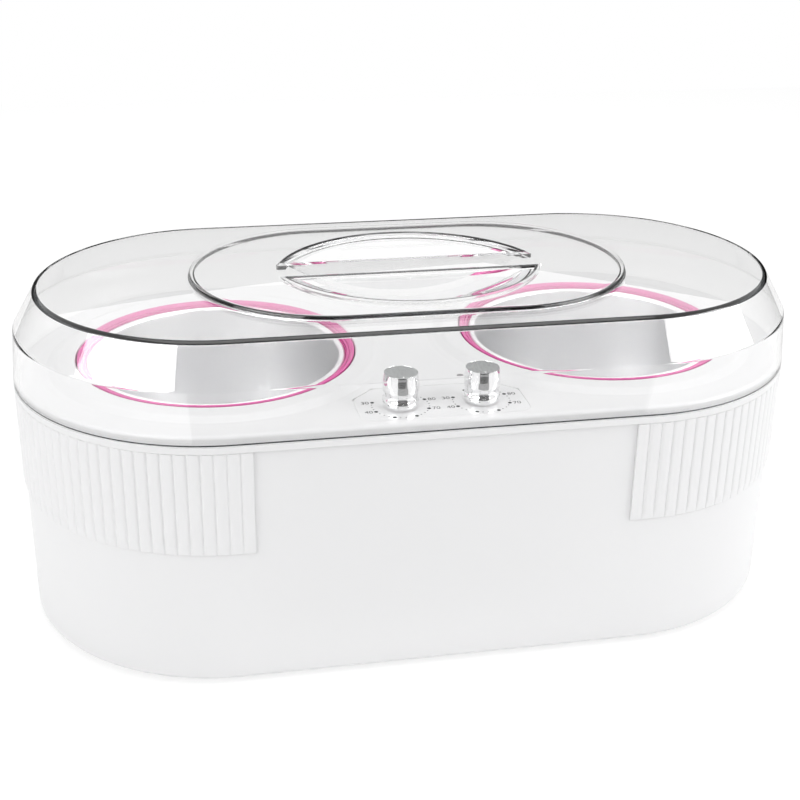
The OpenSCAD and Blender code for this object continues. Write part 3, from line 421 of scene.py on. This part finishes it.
def finger_well(lid, grow, outline):
    """Patches of the front finger well and of the platform round it, grow inside the lid's outer face.

    The well's rim and bowl are arcs about an axis beyond the grip bar. The bar's side is an upright wall
    between their ends, and a narrow brim follows the well's edge. A flat ring of rows joins the brim to the
    platform's outline and to the line over the bar's middle.
    """
    outside, level = not grow, LID_HIGH.z
    far = lid.well_reach - lid.bar/2
    radius = ((lid.well_len/2)**2 + far**2)/(2*far)
    axis_y = radius - lid.well_reach
    side_y = grow - lid.bar/2
    soft = 0.5*MM if outside else 0.2*MM
    drop = lid.well_deep - lid.rim_deep
    bowl_r = radius - lid.rim_wide
    ball = (bowl_r**2 + drop**2)/(2*drop)
    ledge = level - lid.rim_deep - grow
    bowl_edge = math.sqrt((ball + grow)**2 - (ball - drop)**2)
    brink = radius + grow
    rho = np.linspace(bowl_edge - soft, axis_y - side_y, 27)
    rim = np.array([[brink + soft, level - grow], [brink, level - grow - soft], [brink, ledge + soft],
                    [brink - soft, ledge], [bowl_edge + soft, ledge]])
    bowl_z = level - lid.well_deep + ball - np.sqrt((ball + grow)**2 - rho**2)
    profile = np.concatenate([rim, np.stack([rho, bowl_z], 1)])
    plane = np.full(len(profile), side_y)
    plane[0] += soft
    reach = np.arccos(np.clip((axis_y - plane)/profile[:, 0], -1, 1))
    turn = np.linspace(-1, 1, len(outline))[None]*reach[:, None]
    bowl = np.stack(np.broadcast_arrays(profile[:, :1]*np.sin(turn), axis_y - profile[:, :1]*np.cos(turn),
                                        profile[:, 1:]), -1)
    feet = np.concatenate([bowl[1:, 0], bowl[-2:0:-1, -1]])
    crest, lip = feet.copy(), feet.copy()
    lip[:, 2] = level - grow - soft
    crest[:, 0] *= bowl[0, -1, 0]/bowl[1, -1, 0]
    crest[:, 1:] = side_y + soft, level - grow
    wall = np.concatenate([crest[None], lip + (feet - lip)*np.linspace(0, 1, 7)[:, None, None]])
    wide_brim = bowl[0] + (bowl[0] - np.array([0, axis_y, level - grow]))*lid.line/(brink + soft)
    tips = [np.stack([np.stack([wide_brim[i], crest[j]]), np.stack([bowl[0, i], bowl[0, i]])])
            for i, j in ((0, 1), (-1, -2))]
    brim = np.concatenate([wide_brim, crest[-2:0:-1]])
    middle = np.zeros((len(feet) - 2, 3))
    middle[:, 0] = np.linspace(outline[-1, 0], outline[0, 0], len(feet))[1:-1]
    middle[:, 2] = level - grow
    around = np.concatenate([outline, middle])
    flat = around + (brim - around)*np.linspace(0, 1, 9)[:, None, None]
    # Only the outer skin's brim gets the painted dark line round the well
    brim_mark = PAINTED_BRIM if outside else PLAIN
    bowl_marks = [brim_mark] + [PLAIN]*3 + [BOWL]*(len(profile) - 5)
    wall_marks = [brim_mark, PLAIN] + [BOWL]*5
    return [(flat, True, PLAIN), (bowl, False, bowl_marks), (wall, False, wall_marks),
            (np.stack([wide_brim, bowl[0]]), False, brim_mark), *((tip, False, PLAIN) for tip in tips)]


class WARMER_OT_lid(bpy.types.Operator):
    """Clear lid: an even wall with a rounded shoulder, a raised platform and two finger wells"""
    bl_idname = "warmer.lid"
    bl_label = "Lid"

    def execute(self, context):
        lid = context.scene.warmer_lid
        outer, outer_marks = lid_loft(lid, 0.0)
        inner, inner_marks = lid_loft(lid, lid.wall)
        patches = [(outer, False, outer_marks), *finger_well(lid, 0.0, outer[-1]),
                   (inner, False, inner_marks), *finger_well(lid, lid.wall, inner[-1]),
                   (np.stack([outer[0], inner[0]]), False, PLAIN)]
        # At the front only the outer skin gets the painted dark edge lines, so that each shows as a single line;
        # at the back they take the lighter painted grey line
        front = [(grid, wrap, PLAIN if grid is inner else mark) for grid, wrap, mark in patches]
        back = [(mirrored(grid), wrap, np.where(np.isin(mark, (PAINTED_EDGE, PAINTED_STEP)), PAINTED_BACK, mark))
                for grid, wrap, mark in patches]
        surface("clear_lid", front + back, "lid", "clear_plastic", ["lid"], sharp=30,
                finishes=["clear_plastic", "clear_painted_dark_edge", "clear_painted_dark_brim", "clear_bowl", "clear_painted_grey_back",
                          "clear_painted_dark_step"])
        return {"FINISHED"}


# Ribbed bands

def band_spots(end_r, tail, pitch, groove_half):
    """Distances along a band, fine at each groove's walls, with each groove's distance from the middle."""
    length = end_r*math.pi/2 + tail
    plain_end = 1.2*MM
    ribs = int((length - plain_end)/pitch)
    grooves = (np.arange(2*ribs) - ribs + 0.5)*pitch
    near = groove_half*np.array([-2.6, -1.7, -1.2, -0.8, -0.35, 0, 0.35, 0.8, 1.2, 1.7, 2.6])
    faces = grooves[:, None] + pitch*np.array([0.3, 0.4, 0.5, 0.6, 0.7])
    tail_spots = np.linspace(grooves[-1] + 0.3*pitch, length, 5)
    spots = np.concatenate([(grooves[:, None] + near).ravel(), faces[:-1].ravel(), tail_spots, -tail_spots])
    return np.unique(np.round(spots, 9)), grooves


def band_point(distance, end_r):
    """Where a distance along the band lies: round the end, then straight along the tails; x, y and normal."""
    quarter = end_r*math.pi/2
    angle = np.clip(distance, -quarter, quarter)/end_r
    past = np.clip(np.abs(distance) - quarter, 0, None)
    return np.cos(angle)*end_r - past, np.sin(angle)*end_r, np.cos(angle), np.sin(angle)


class WARMER_OT_bands(bpy.types.Operator):
    """Ribbed bands round both ends: a profile carried round the end, cut by a groove between each two ribs"""
    bl_idname = "warmer.bands"
    bl_label = "Grip bands"
    THICK = 0.95*MM
    GROOVE_HALF = 0.35*MM
    GROOVE_SPREAD = 0.6*MM

    def execute(self, context):
        band = context.scene.warmer_bands
        for side, name in ((-1, "left"), (1, "right")):
            low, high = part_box("grip_band_" + name)
            end_r = high.y
            inner = end_r - self.THICK
            spots, grooves = band_spots(end_r, band.tail, band.pitch, self.GROOVE_HALF)
            away = np.abs(spots[:, None] - grooves[None]).min(1)
            cut = (band.groove*np.exp(-(away/self.GROOVE_SPREAD)**2)
                   + band.crown*(1 - away/(band.pitch/2)).clip(0, 1)**2)
            cut[np.abs(spots) > grooves[-1] + band.pitch/2] = 0
            z = np.concatenate([[low.z], low.z + band.chamfer*np.array([0, 0.15, 0.5, 0.85, 0.97, 1.06]),
                                np.linspace(low.z + 1.3*band.chamfer, high.z - 0.6*MM, 10),
                                [high.z - 0.15*MM, high.z]])
            lead = np.clip((z - low.z)/band.chamfer, 0, 1)
            face = inner + (end_r - inner)*(0.35 + 0.65*lead**1.2)
            face[0] = inner
            face[-1] -= 0.2*MM
            radius = np.maximum(face[:, None] - cut[None]*(0.25 + 0.75*lead[:, None]), inner)
            x, y, nx, ny = band_point(spots, end_r)
            grid = np.stack(np.broadcast_arrays(side*(POT_X + x + (radius - end_r)*nx),
                                                y + (radius - end_r)*ny, z[:, None]), -1)
            shift = inner - radius
            back = grid + np.stack([side*shift*nx, shift*ny, 0*shift], -1)
            strips = [np.stack([grid[-1], back[-1]])]
            strips += [np.stack([grid[:, i], back[:, i]]) for i in (0, -1)]
            surface("ribbed_band_" + name, [(patch, False, 0) for patch in (grid, back, *strips)], "base",
                    "white_plastic", ["grip_band_" + name], sharp=40)
        return {"FINISHED"}


# Rings and dial plate

class WARMER_OT_rings(bpy.types.Operator):
    """Pink rings, each a turned profile: a low rim on the collar, a funnel down to the pot's roll and a neck"""
    bl_idname = "warmer.rings"
    bl_label = "Rings"

    def execute(self, context):
        rim = context.scene.warmer_dials.rim
        for side, name in ((-1, "left"), (1, "right")):
            low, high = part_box("pot_ring_" + name)
            out, top = high.y, COLLAR_TOP + rim
            under, shelf, roll = top - 1.5*MM, low.z + 2.7*MM, low.z + 4.25*MM
            profile = filleted([[SEAT_R, shelf], [SEAT_R, roll], [out - 0.9*MM, top - 0.05*MM],
                                [out - 0.3*MM, top], [out, top - 0.3*MM], [out, under], [NECK_R, under],
                                [NECK_R, low.z], [SHELF_R, low.z], [SHELF_R, shelf], [SEAT_R, shelf]],
                               [0.3*MM, 0.3*MM, 0.3*MM, 0.2*MM, 0, 0, 0, 0, 0], 4)
            surface("pink_ring_" + name, [(turned(profile, side*POT_X, 0, 160), True, 0)], "pot_" + name,
                    "pink_plastic", ["pot_ring_" + name], sharp=40)
        return {"FINISHED"}


class WARMER_OT_plate(bpy.types.Operator):
    """Dial plate: from its middle, its outline is the nearer of a rectangle and the two collars, then rounded"""
    bl_idname = "warmer.plate"
    bl_label = "Dial plate"
    GAP = 0.28*MM

    def execute(self, context):
        half_x = (PANEL_HIGH.x - PANEL_LOW.x)/2 + self.GAP
        half_y = (PANEL_HIGH.y - PANEL_LOW.y)/2 + self.GAP
        middle = (PANEL_HIGH.y + PANEL_LOW.y)/2
        angle = np.arange(720)*math.pi/360
        ux, uy = np.cos(angle), np.sin(angle)
        straight = np.minimum(half_x/np.maximum(np.abs(ux), 1e-6), half_y/np.maximum(np.abs(uy), 1e-6))
        along = POT_X*np.abs(ux) - middle*uy
        gone = POT_X**2 + middle**2 - COLLAR_R**2
        nowhere, soften = 1.0, 11
        arc = np.where(along**2 > gone, along - np.sqrt(np.maximum(along**2 - gone, 0)), nowhere)
        reach = np.minimum(straight, np.where((arc > 0) & (along > 0), arc, nowhere))
        window = np.hanning(2*soften + 1)
        window /= window.sum()
        reach = np.convolve(np.concatenate([reach[-soften:], reach, reach[:soften]]), window, "valid")
        top = PANEL_HIGH.z + context.scene.warmer_dials.lift
        rows = filleted([[0.02*MM, PANEL_LOW.z], [0.02*MM, top], [6*MM, top]], [0.15*MM], 5)
        grid = np.stack([(reach - rows[:, :1])*ux, middle + (reach - rows[:, :1])*uy,
                         np.broadcast_to(rows[:, 1:], (len(rows), len(ux)))], -1)
        flat = np.stack([grid[-1]*np.array([k, k, 1]) + np.array([0, middle*(1 - k), 0])
                         for k in (1.0, 0.8, 0.55, 0.3, 0.05, 0.001)])
        surface("dial_plate", [(grid, True, 0), (flat, True, 0)], "base", "white_plastic", ["control_panel"],
                sharp=40, finishes=["panel_plastic"])
        return {"FINISHED"}


# Knobs

def knob_shell(radius, tall):
    """Profile of a knob from the foot up: a rounded foot, a waist, a drum, a cone and the rim round the cap."""
    return np.array([
        [radius - 1.3*MM, 0], [radius - 1.1*MM, 0], [radius - 0.55*MM, 0.5*MM], [radius - 0.12*MM, 1.4*MM],
        [radius, 2.5*MM], [radius - 0.1*MM, 3.4*MM], [radius - 0.45*MM, 4.6*MM], [radius - 0.6*MM, 5.5*MM],
        [radius - 0.5*MM, 6.3*MM], [radius - 0.15*MM, 7.2*MM], [radius - 0.03*MM, 8.0*MM], [radius, 8.8*MM],
        [radius, tall - 4.2*MM], [radius - 0.01*MM, tall - 4.0*MM], [radius - 0.05*MM, tall - 3.7*MM],
        [radius - 0.58*MM, tall - 0.3*MM], [radius - 0.62*MM, tall - 0.13*MM], [radius - 0.7*MM, tall],
        [radius - 0.76*MM, tall], [radius - 0.79*MM, tall - 0.1*MM], [radius - 0.8*MM, tall - 0.4*MM]])


def smooth_line(points, steps=5):
    """A curve through points: on each stretch a cubic whose ends lean as the neighbours do."""
    ahead = np.concatenate([points[1:], 2*points[-1:] - points[-2:-1]])
    behind = np.concatenate([2*points[:1] - points[1:2], points[:-1]])
    lean = (ahead - behind)/2
    t = np.arange(steps)[:, None]/steps
    pieces = [(2*t**3 - 3*t**2 + 1)*a + (t**3 - 2*t**2 + t)*la + (3*t**2 - 2*t**3)*b + (t**3 - t**2)*lb
              for a, b, la, lb in zip(points[:-1], points[1:], lean[:-1], lean[1:])]
    return np.concatenate(pieces + [points[-1:]])


class WARMER_OT_knobs(bpy.types.Operator):
    """Chrome knobs, each a turned shell with a satin cap set in its rim and a pointer dot at the cap's front"""
    bl_idname = "warmer.knobs"
    bl_label = "Knobs"

    def execute(self, context):
        for name in ("left", "right"):
            low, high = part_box("knob_" + name)
            x, y = (low.x + high.x)/2, (low.y + high.y)/2
            shell = smooth_line(knob_shell(KNOB_R, high.z - low.z))
            shell[:, 1] += low.z
            bore, floor = shell[0, 0] - 0.3*MM, high.z - 4*MM
            inside = np.array([[shell[0, 0], low.z], [bore, low.z + 0.4*MM], [bore, floor], [AXIS, floor]])
            seat = np.array([shell[-1], [AXIS, shell[-1, 1]]])
            surface("chrome_knob_" + name,
                    [(turned(line, x, y, 128), True, 0) for line in (shell, inside, seat)],
                    "knob_" + name, "knob_chrome", ["knob_" + name], sharp=40)
            edge, top = KNOB_R - 0.81*MM, high.z - 0.02*MM
            disc = filleted([[edge, top - 0.35*MM], [edge, top], [0.35*edge, top]], [0.06*MM], 3)
            centre = np.array([[0.2*edge, top], [0.1*edge, top], [AXIS, top]])
            cap = turned(np.concatenate([disc, centre]), x, y, 96)
            dimple = filleted([[0.62*MM, 0], [0.5*MM, 0.12*MM], [AXIS, 0.2*MM]], [0.1*MM], 4)
            dimple[:, 1] += top - 0.06*MM
            front = 1.6*MM - edge
            surface("satin_cap_" + name, [(cap, True, 0)], "knob_" + name, "satin_metal",
                    ["knob_cap_" + name], sharp=40)
            surface("pointer_" + name, [(turned(dimple, x, y + front, 24), True, 0)], "knob_" + name,
                    "knob_chrome", sharp=60)
        return {"FINISHED"}


# Dials

def flat_figure(words, height):
    """The outline of a number as flat faces, centred on the origin: points, and the faces as lists."""
    curve = bpy.data.curves.new("number", "FONT")
    curve.body, curve.size = words, 1.0
    holder = bpy.data.objects.new("number", curve)
    mesh = bpy.data.meshes.new_from_object(holder)
    points = np.empty(len(mesh.vertices)*3)
    mesh.vertices.foreach_get("co", points)
    points = points.reshape(-1, 3)
    faces = [list(face.vertices) for face in mesh.polygons]
    low, high = points.min(0), points.max(0)
    points = (points - (low + high)/2)*height/(high[1] - low[1])
    bpy.data.objects.remove(holder)
    bpy.data.curves.remove(curve)
    bpy.data.meshes.remove(mesh)
    return points, faces


class WARMER_OT_dials(bpy.types.Operator):
    """Printed dials: a circle of large and small dots round each knob, and plain numbers left and right of it"""
    bl_idname = "warmer.dials"
    bl_label = "Dials"
    FIRST, APART = -202.5, 45.0  # degrees

    def execute(self, context):
        dial = context.scene.warmer_dials
        print_z = PANEL_HIGH.z + dial.lift + 0.03*MM
        points, faces = [], []

        def stamp(shape, parts, x, y):
            start = sum(len(p) for p in points)
            points.append(shape + np.array([x, y, print_z]))
            faces.extend([[start + i for i in part] for part in parts])

        around = np.arange(16)*math.pi/8
        disc = np.stack([np.cos(around), np.sin(around), 0*around], 1)

        def dot(size, degrees):
            angle = math.radians(degrees)
            stamp(disc*size, [list(range(len(disc)))], cx + dial.ring*math.cos(angle),
                  cy + dial.ring*math.sin(angle))

        reach = dial.ring + 3.4*MM
        for name in ("left", "right"):
            low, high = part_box("knob_" + name)
            cx, cy = (low.x + high.x)/2, (low.y + high.y)/2
            for k in range(8):
                degrees = self.FIRST + k*self.APART
                dot(dial.dot, degrees)
                for quarter in (1, 2, 3) if k < 7 else ():
                    dot(dial.dot*0.36, degrees + quarter*self.APART/4)
                angle = math.radians(degrees)
                if abs(math.cos(angle)) > 0.5:
                    figure, parts = flat_figure(str(30 + 10*k), dial.number)
                    stamp(figure, parts, cx + reach*math.cos(angle), cy + dial.ring*math.sin(angle))
        mesh = bpy.data.meshes.new("dial_print")
        mesh.from_pydata(np.concatenate(points).tolist(), [], faces)
        piece = bpy.data.objects.new("dial_print", mesh)
        context.scene.collection.objects.link(piece)
        mesh.materials.append(finish("ink"))
        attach(piece, "base")
        return {"FINISHED"}


# Materials

def clear(name, tint, back=None, index=1.56, over=-5*MM):
    """Clear plastic that bends sight lines, while lamps and bounced light pass straight through it.

    Where the tint is dark it paints a line along an edge, a painted reflection of dark surroundings. From the
    front to the back its tint may go over to another, on a stretch about the depth over.
    """
    material = finish(name)
    material.use_nodes = True
    f = Finish(material.node_tree)
    f.x, f.y, f.z = f.place()
    scuffs = f.noise(260.0, 4.0, 0.6)
    stretch = 9*MM
    behind = f.node("ShaderNodeMapRange", {}, {0: f.y, 1: over - stretch, 2: over + stretch})
    glass = f.node("ShaderNodeBsdfPrincipled", {}, {
        "Base Color": f.blend(behind, tint, back or tint), "Roughness": 0.004 + 0.02*(scuffs > 0.72),
        "IOR": index, "Transmission Weight": 1.0})
    open_way = f.node("ShaderNodeBsdfTransparent", {}, {"Color": (*(0.4 + 0.59*c for c in tint), 1)})
    lamp, bounce = f.rays("Shadow", "Diffuse")
    both = f.node("ShaderNodeMixShader", {}, {0: lamp + bounce, 1: glass, 2: open_way})
    f.node("ShaderNodeOutputMaterial", {}, {"Surface": both})


def white_plastic(f, rough=0.30):
    """White plastic: a faint mottle in colour and gloss, a fine grain and softened edges."""
    tint = f.noise(9.0, 2.0)
    grain = f.noise(900.0, 2.0)
    white = tuple(bpy.context.scene.warmer_colours.white)
    soft = f.node("ShaderNodeBevel", {"samples": 4}, {"Radius": 0.5*MM})
    return {"Base Color": f.blend(tint, scaled(white, 0.985), white),
            "Roughness": rough + 0.08*f.noise(40.0), "IOR": 1.5,
            "Normal": f.bump(grain, 0.01*MM, 0.3, soft)}


def panel_plastic(f):
    return white_plastic(f, 0.10)


def pink_plastic(f):
    pink = tuple(bpy.context.scene.warmer_colours.pink)
    base = f.blend(f.noise(20.0), scaled(pink, 0.94), pink)
    soft = f.node("ShaderNodeBevel", {"samples": 4}, {"Radius": 0.4*MM})
    return {"Base Color": base, "Roughness": 0.18 + 0.08*f.noise(60.0), "Normal": soft}


def spun(f, side, colour, rough, pitch):
    """Metal turned about a pot's axis: fine rings in its colour, roughness and height."""
    dx = f.x - side*POT_X
    radius = (dx*dx + f.y*f.y).root()
    rings = ((radius + f.z)*(2*math.pi/pitch) + 3.0*f.noise(30.0)).sine()*0.5 + 0.5
    fine = f.node("ShaderNodeTexNoise", {"noise_dimensions": "1D"},
                  {"W": radius + f.z, "Scale": 6000.0, "Detail": 2.0})
    base = f.blend(0.5*rings + 0.5*fine, scaled(colour, 0.93), colour)
    return {"Base Color": base, "Metallic": 1.0, "Roughness": rough + 0.08*fine + 0.03*rings,
            "Normal": f.bump(0.3*rings + 0.7*fine, 0.01*MM, 0.4)}


def pot(side):
    return lambda f: spun(f, side, tuple(bpy.context.scene.warmer_colours.pot), 0.34, 0.9*MM)


def well(side):
    return lambda f: spun(f, side, (0.66, 0.66, 0.67), 0.36, 1.6*MM)


def satin(f):
    fine = f.noise(1100.0, 4.0, stretch=(1, 0.3, 1))
    return {"Base Color": f.blend(fine, (0.27, 0.28, 0.28), (0.56, 0.57, 0.57)), "Metallic": 1.0,
            "Roughness": 0.34 + 0.12*fine, "Normal": f.bump(fine, 0.01*MM, 0.3)}


def mottled(scale, low, high, gloss_scale, rough, spread, **sockets):
    """A smooth surface: one noise leads its colour from low to high, another adds spread to its roughness."""
    return lambda f: {"Base Color": f.blend(f.noise(scale), low, high),
                      "Roughness": rough + spread*f.noise(gloss_scale), **sockets}


def grained(scale, low, high, rough, spread, depth, strength):
    """A grained surface: one noise drives its colour, its roughness and its height."""
    def draw(f):
        grain = f.noise(scale)
        return {"Base Color": f.blend(grain, low, high), "Roughness": rough + spread*grain,
                "Normal": f.bump(grain, depth, strength)}
    return draw


def wire(low, high):
    return mottled(150.0, low, high, 500.0, 0.35, 0.15)


def green_wire(f):
    stripe = ((f.x + f.y + f.z)*(2*math.pi/(9*MM))).sine() > 0.35
    return {"Base Color": f.blend(stripe, (0.06, 0.33, 0.08), (0.72, 0.62, 0.05)),
            "Roughness": 0.35 + 0.15*f.noise(500.0)}


def ink(f):
    tone = tuple(bpy.context.scene.warmer_colours.print_ink)
    worn = f.noise(1200.0)
    return {"Base Color": f.blend(worn, tone, scaled(tone, 1.6)), "Roughness": 0.8 + 0.15*worn,
            "Specular IOR Level": 0.1}


FINISHES = {
    "ink": ink, "white_plastic": white_plastic, "panel_plastic": panel_plastic, "pink_plastic": pink_plastic,
    "pot_left": pot(-1), "pot_right": pot(1), "well_left": well(-1), "well_right": well(1),
    "satin_metal": satin,
    "knob_chrome": mottled(80.0, (0.88, 0.88, 0.885), (0.93, 0.93, 0.935), 300.0, 0.03, 0.04, Metallic=1.0),
    "steel": mottled(200.0, (0.52, 0.52, 0.54), (0.60, 0.60, 0.62), 500.0, 0.28, 0.14, Metallic=1.0),
    "brass": mottled(120.0, (0.70, 0.52, 0.26), (0.80, 0.64, 0.36), 260.0, 0.25, 0.15, Metallic=1.0),
    "lamp_lens": mottled(400.0, (0.26, 0.25, 0.25), (0.34, 0.33, 0.33), 600.0, 0.08, 0.06),
    "rubber": grained(1500.0, (0.035, 0.035, 0.036), (0.06, 0.06, 0.06), 0.65, 0.15, 0.04*MM, 0.5),
    "silicone": grained(900.0, (0.50, 0.17, 0.12), (0.58, 0.22, 0.15), 0.5, 0.12, 0.02*MM, 0.4),
    "black_plastic": grained(1800.0, (0.035, 0.035, 0.037), (0.055, 0.055, 0.058), 0.38, 0.14, 0.03*MM, 0.5),
    "brown_wire": wire((0.20, 0.09, 0.04), (0.28, 0.13, 0.06)),
    "blue_wire": wire((0.04, 0.13, 0.42), (0.07, 0.18, 0.52)), "green_wire": green_wire,
}


class WARMER_OT_finishes(bpy.types.Operator):
    """Materials of every finish, given to the construction's own pieces"""
    bl_idname = "warmer.finishes"
    bl_label = "Finishes"

    def execute(self, context):
        for name, draw in FINISHES.items():
            shade(name, draw)
        clear("clear_plastic", (0.99, 0.99, 0.99))
        # Dark and grey tints: painted lines along the clear edges, a painted reflection of dark surroundings,
        # darker at the front than at the back
        clear("clear_painted_dark_edge", (0.012, 0.013, 0.014), (0.1, 0.1, 0.1))
        clear("clear_painted_grey_back", (0.9, 0.9, 0.9))
        clear("clear_painted_dark_step", (0.012, 0.013, 0.014), (0.7, 0.7, 0.7), over=-24*MM)
        clear("clear_painted_dark_brim", (0.03, 0.03, 0.031), (0.05, 0.05, 0.052))
        clear("clear_bowl", (0.97, 0.97, 0.97), index=1.08)
        for part in frame["record"]["subparts"]:
            node, slot = part["node"], part["material_slot"]
            side = "left" if node.endswith("left") else "right"
            name = {"pot_aluminium": "pot_" + side, "well_aluminium": "well_" + side}.get(slot, slot)
            dressed(node, finish(name))
        return {"FINISHED"}


# Stage

def world_light(stage):
    """Plain light all round, while the camera sees white and gloss sees a studio.

    The studio is white, with a soft box at each side, a dark gap between them behind the camera, and low dark
    walls at the back and at the far right. What shows through the lid has only the front half of it. A
    direction's side is the sine of its turn from the front, and z its height.
    """
    world = bpy.data.worlds.new("studio")
    bpy.context.scene.world = world
    world.use_nodes = True
    f = Finish(world.node_tree)
    x, y, z = f.split(f.node("ShaderNodeTexCoord"))
    camera, glossy, through = f.rays("Camera", "Glossy", "Transmission")
    side = x/(x*x + y*y).root()
    front = y < 0.0
    gap = front*between(side, -0.50, 0.56)*between(z, -0.25, 0.75)
    boxes = front*(1.0 - gap)*between(z, 0.12, 0.66)
    back_wall = (y > 0.0)*(z < 0.309 + 0.1*abs(x - 0.25))
    right_wall = between(y, -0.26, 0.85)*(z < 0.2)*(x > 0.0)
    gap_dark, wall_dark = 0.93, 0.9
    front_half = (1.0 - gap_dark*gap) + stage.boxes*boxes
    whole = front_half*(1.0 - wall_dark*back_wall)*(1.0 - wall_dark*right_wall)
    seen = through*front_half + (1.0 - through)*whole
    level = camera + (1.0 - camera)*(glossy*seen + (1.0 - glossy)*stage.sky)
    light = f.node("ShaderNodeBackground", {}, {"Color": (1, 1, 1, 1), "Strength": level})
    f.node("ShaderNodeOutputWorld", {}, {"Surface": light})


def stage_floor():
    """A pale floor that keeps the object's soft shadow and shows white beyond it, in metal and glass too.

    Gloss and glass, but not the camera, see a dim zone before the object, which spreads out towards the front.
    """
    half, under = 1.15, 0.2*MM
    corners = [[-half, -half, -under], [half, -half, -under], [half, half, -under], [-half, half, -under]]
    mesh = bpy.data.meshes.new("floor")
    mesh.from_pydata(corners, [], [[0, 1, 2, 3]])
    floor = bpy.data.objects.new("floor", mesh)
    bpy.context.scene.collection.objects.link(floor)
    material = bpy.data.materials.new("floor")
    material.use_nodes = True
    f = Finish(material.node_tree)
    camera, glossy, through = f.rays("Camera", "Glossy", "Transmission")
    x, y = f.place()[:2]
    mirrored_or_through = 1.0 - (1.0 - glossy)*(1.0 - through)
    before = (y < -0.13)*(abs(x) < -0.5*y)*(1.0 - camera)*mirrored_or_through
    looked = 1.0 - (1.0 - camera)*(1.0 - mirrored_or_through)
    matt = f.node("ShaderNodeBsdfDiffuse", {}, {"Color": (0.93, 0.93, 0.93, 1)})
    white, dim = (f.node("ShaderNodeEmission", {}, {"Color": (1, 1, 1, 1), "Strength": strength})
                  for strength in (1.1, 0.36))
    both = f.node("ShaderNodeMixShader", {}, {0: 0.7*looked, 1: matt, 2: white})
    f.node("ShaderNodeOutputMaterial", {}, {
        "Surface": f.node("ShaderNodeMixShader", {}, {0: before, 1: both, 2: dim})})
    mesh.materials.append(material)


def soft_lamp(name, place, target, size, power):
    """A large square lamp that looks from place to target."""
    data = bpy.data.lights.new(name, "AREA")
    data.shape, data.size, data.energy = "SQUARE", size, power
    lamp = bpy.data.objects.new(name, data)
    back = np.array(place) - np.array(target)
    back /= np.linalg.norm(back)
    lamp.matrix_world = upright(back, place, 0.0)
    lamp.visible_camera = False
    bpy.context.scene.collection.objects.link(lamp)


def upright(back, place, roll):
    """The matrix of a lamp or camera at place that looks against back, turned by roll."""
    right = np.cross(-back, [0, 0, 1])
    right /= np.linalg.norm(right)
    up = np.cross(right, -back)
    side = right*math.cos(roll) + up*math.sin(roll)
    rise = up*math.cos(roll) - right*math.sin(roll)
    rows = np.stack([side, rise, back, np.asarray(place)], 1)
    return Matrix([*rows.tolist(), [0, 0, 0, 1]])


class WARMER_OT_stage(bpy.types.Operator):
    """Pale floor, soft light and the camera at the photograph's angle"""
    bl_idname = "warmer.stage"
    bl_label = "Stage"

    def execute(self, context):
        stage = context.scene.warmer_stage
        world_light(stage)
        stage_floor()
        lit = (0, 0, 0.1)
        soft_lamp("top_box", (0.0, 0.1, 1.8), lit, 1.5, stage.top_box)
        soft_lamp("left_box", (-1.15, -0.65, 0.75), lit, 0.8, stage.side_boxes)
        soft_lamp("right_box", (1.15, -0.55, 0.75), lit, 0.8, stage.side_boxes*1.25)
        target = np.array([-3.33, 0, 88.8])*MM
        flat = math.cos(stage.elevation)
        back = np.array([math.sin(stage.azimuth)*flat, -math.cos(stage.azimuth)*flat, math.sin(stage.elevation)])
        data = bpy.data.cameras.new("camera")
        data.lens, data.sensor_width, data.clip_start = stage.focal, 36.0, 0.01
        camera = bpy.data.objects.new("camera", data)
        camera.matrix_world = upright(back, target + back*stage.distance, stage.roll)
        context.scene.collection.objects.link(camera)
        context.scene.camera = camera
        context.scene.view_settings.view_transform = "Standard"
        return {"FINISHED"}


class WARMER_PT_panel(bpy.types.Panel):
    bl_label = "Double wax warmer"
    bl_idname = "WARMER_PT_panel"
    bl_space_type = "VIEW_3D"
    bl_region_type = "UI"
    bl_category = "Warmer"

    def draw(self, context):
        for holder in GROUPS:
            group = getattr(context.scene, holder)
            for name in group.__annotations__:
                self.layout.prop(group, name)
        for step in STEPS:
            self.layout.operator(step.bl_idname)


STEPS = (WARMER_OT_finishes, WARMER_OT_lid, WARMER_OT_bands, WARMER_OT_rings, WARMER_OT_plate,
         WARMER_OT_knobs, WARMER_OT_dials, WARMER_OT_stage)
GROUPS = {"warmer_lid": WARMER_PG_lid, "warmer_bands": WARMER_PG_bands, "warmer_dials": WARMER_PG_dials,
          "warmer_colours": WARMER_PG_colours, "warmer_stage": WARMER_PG_stage}


def register():
    for kind in (*GROUPS.values(), *STEPS, WARMER_PT_panel):
        bpy.utils.register_class(kind)
    for name, group in GROUPS.items():
        setattr(bpy.types.Scene, name, bpy.props.PointerProperty(type=group))


def unregister():
    for name in GROUPS:
        delattr(bpy.types.Scene, name)
    for kind in reversed((*GROUPS.values(), *STEPS, WARMER_PT_panel)):
        bpy.utils.unregister_class(kind)


def main():
    register()
    for step in STEPS:
        group, name = step.bl_idname.split(".")
        getattr(getattr(bpy.ops, group), name)()
    bpy.context.view_layer.update()


if __name__ == "__main__":
    main()
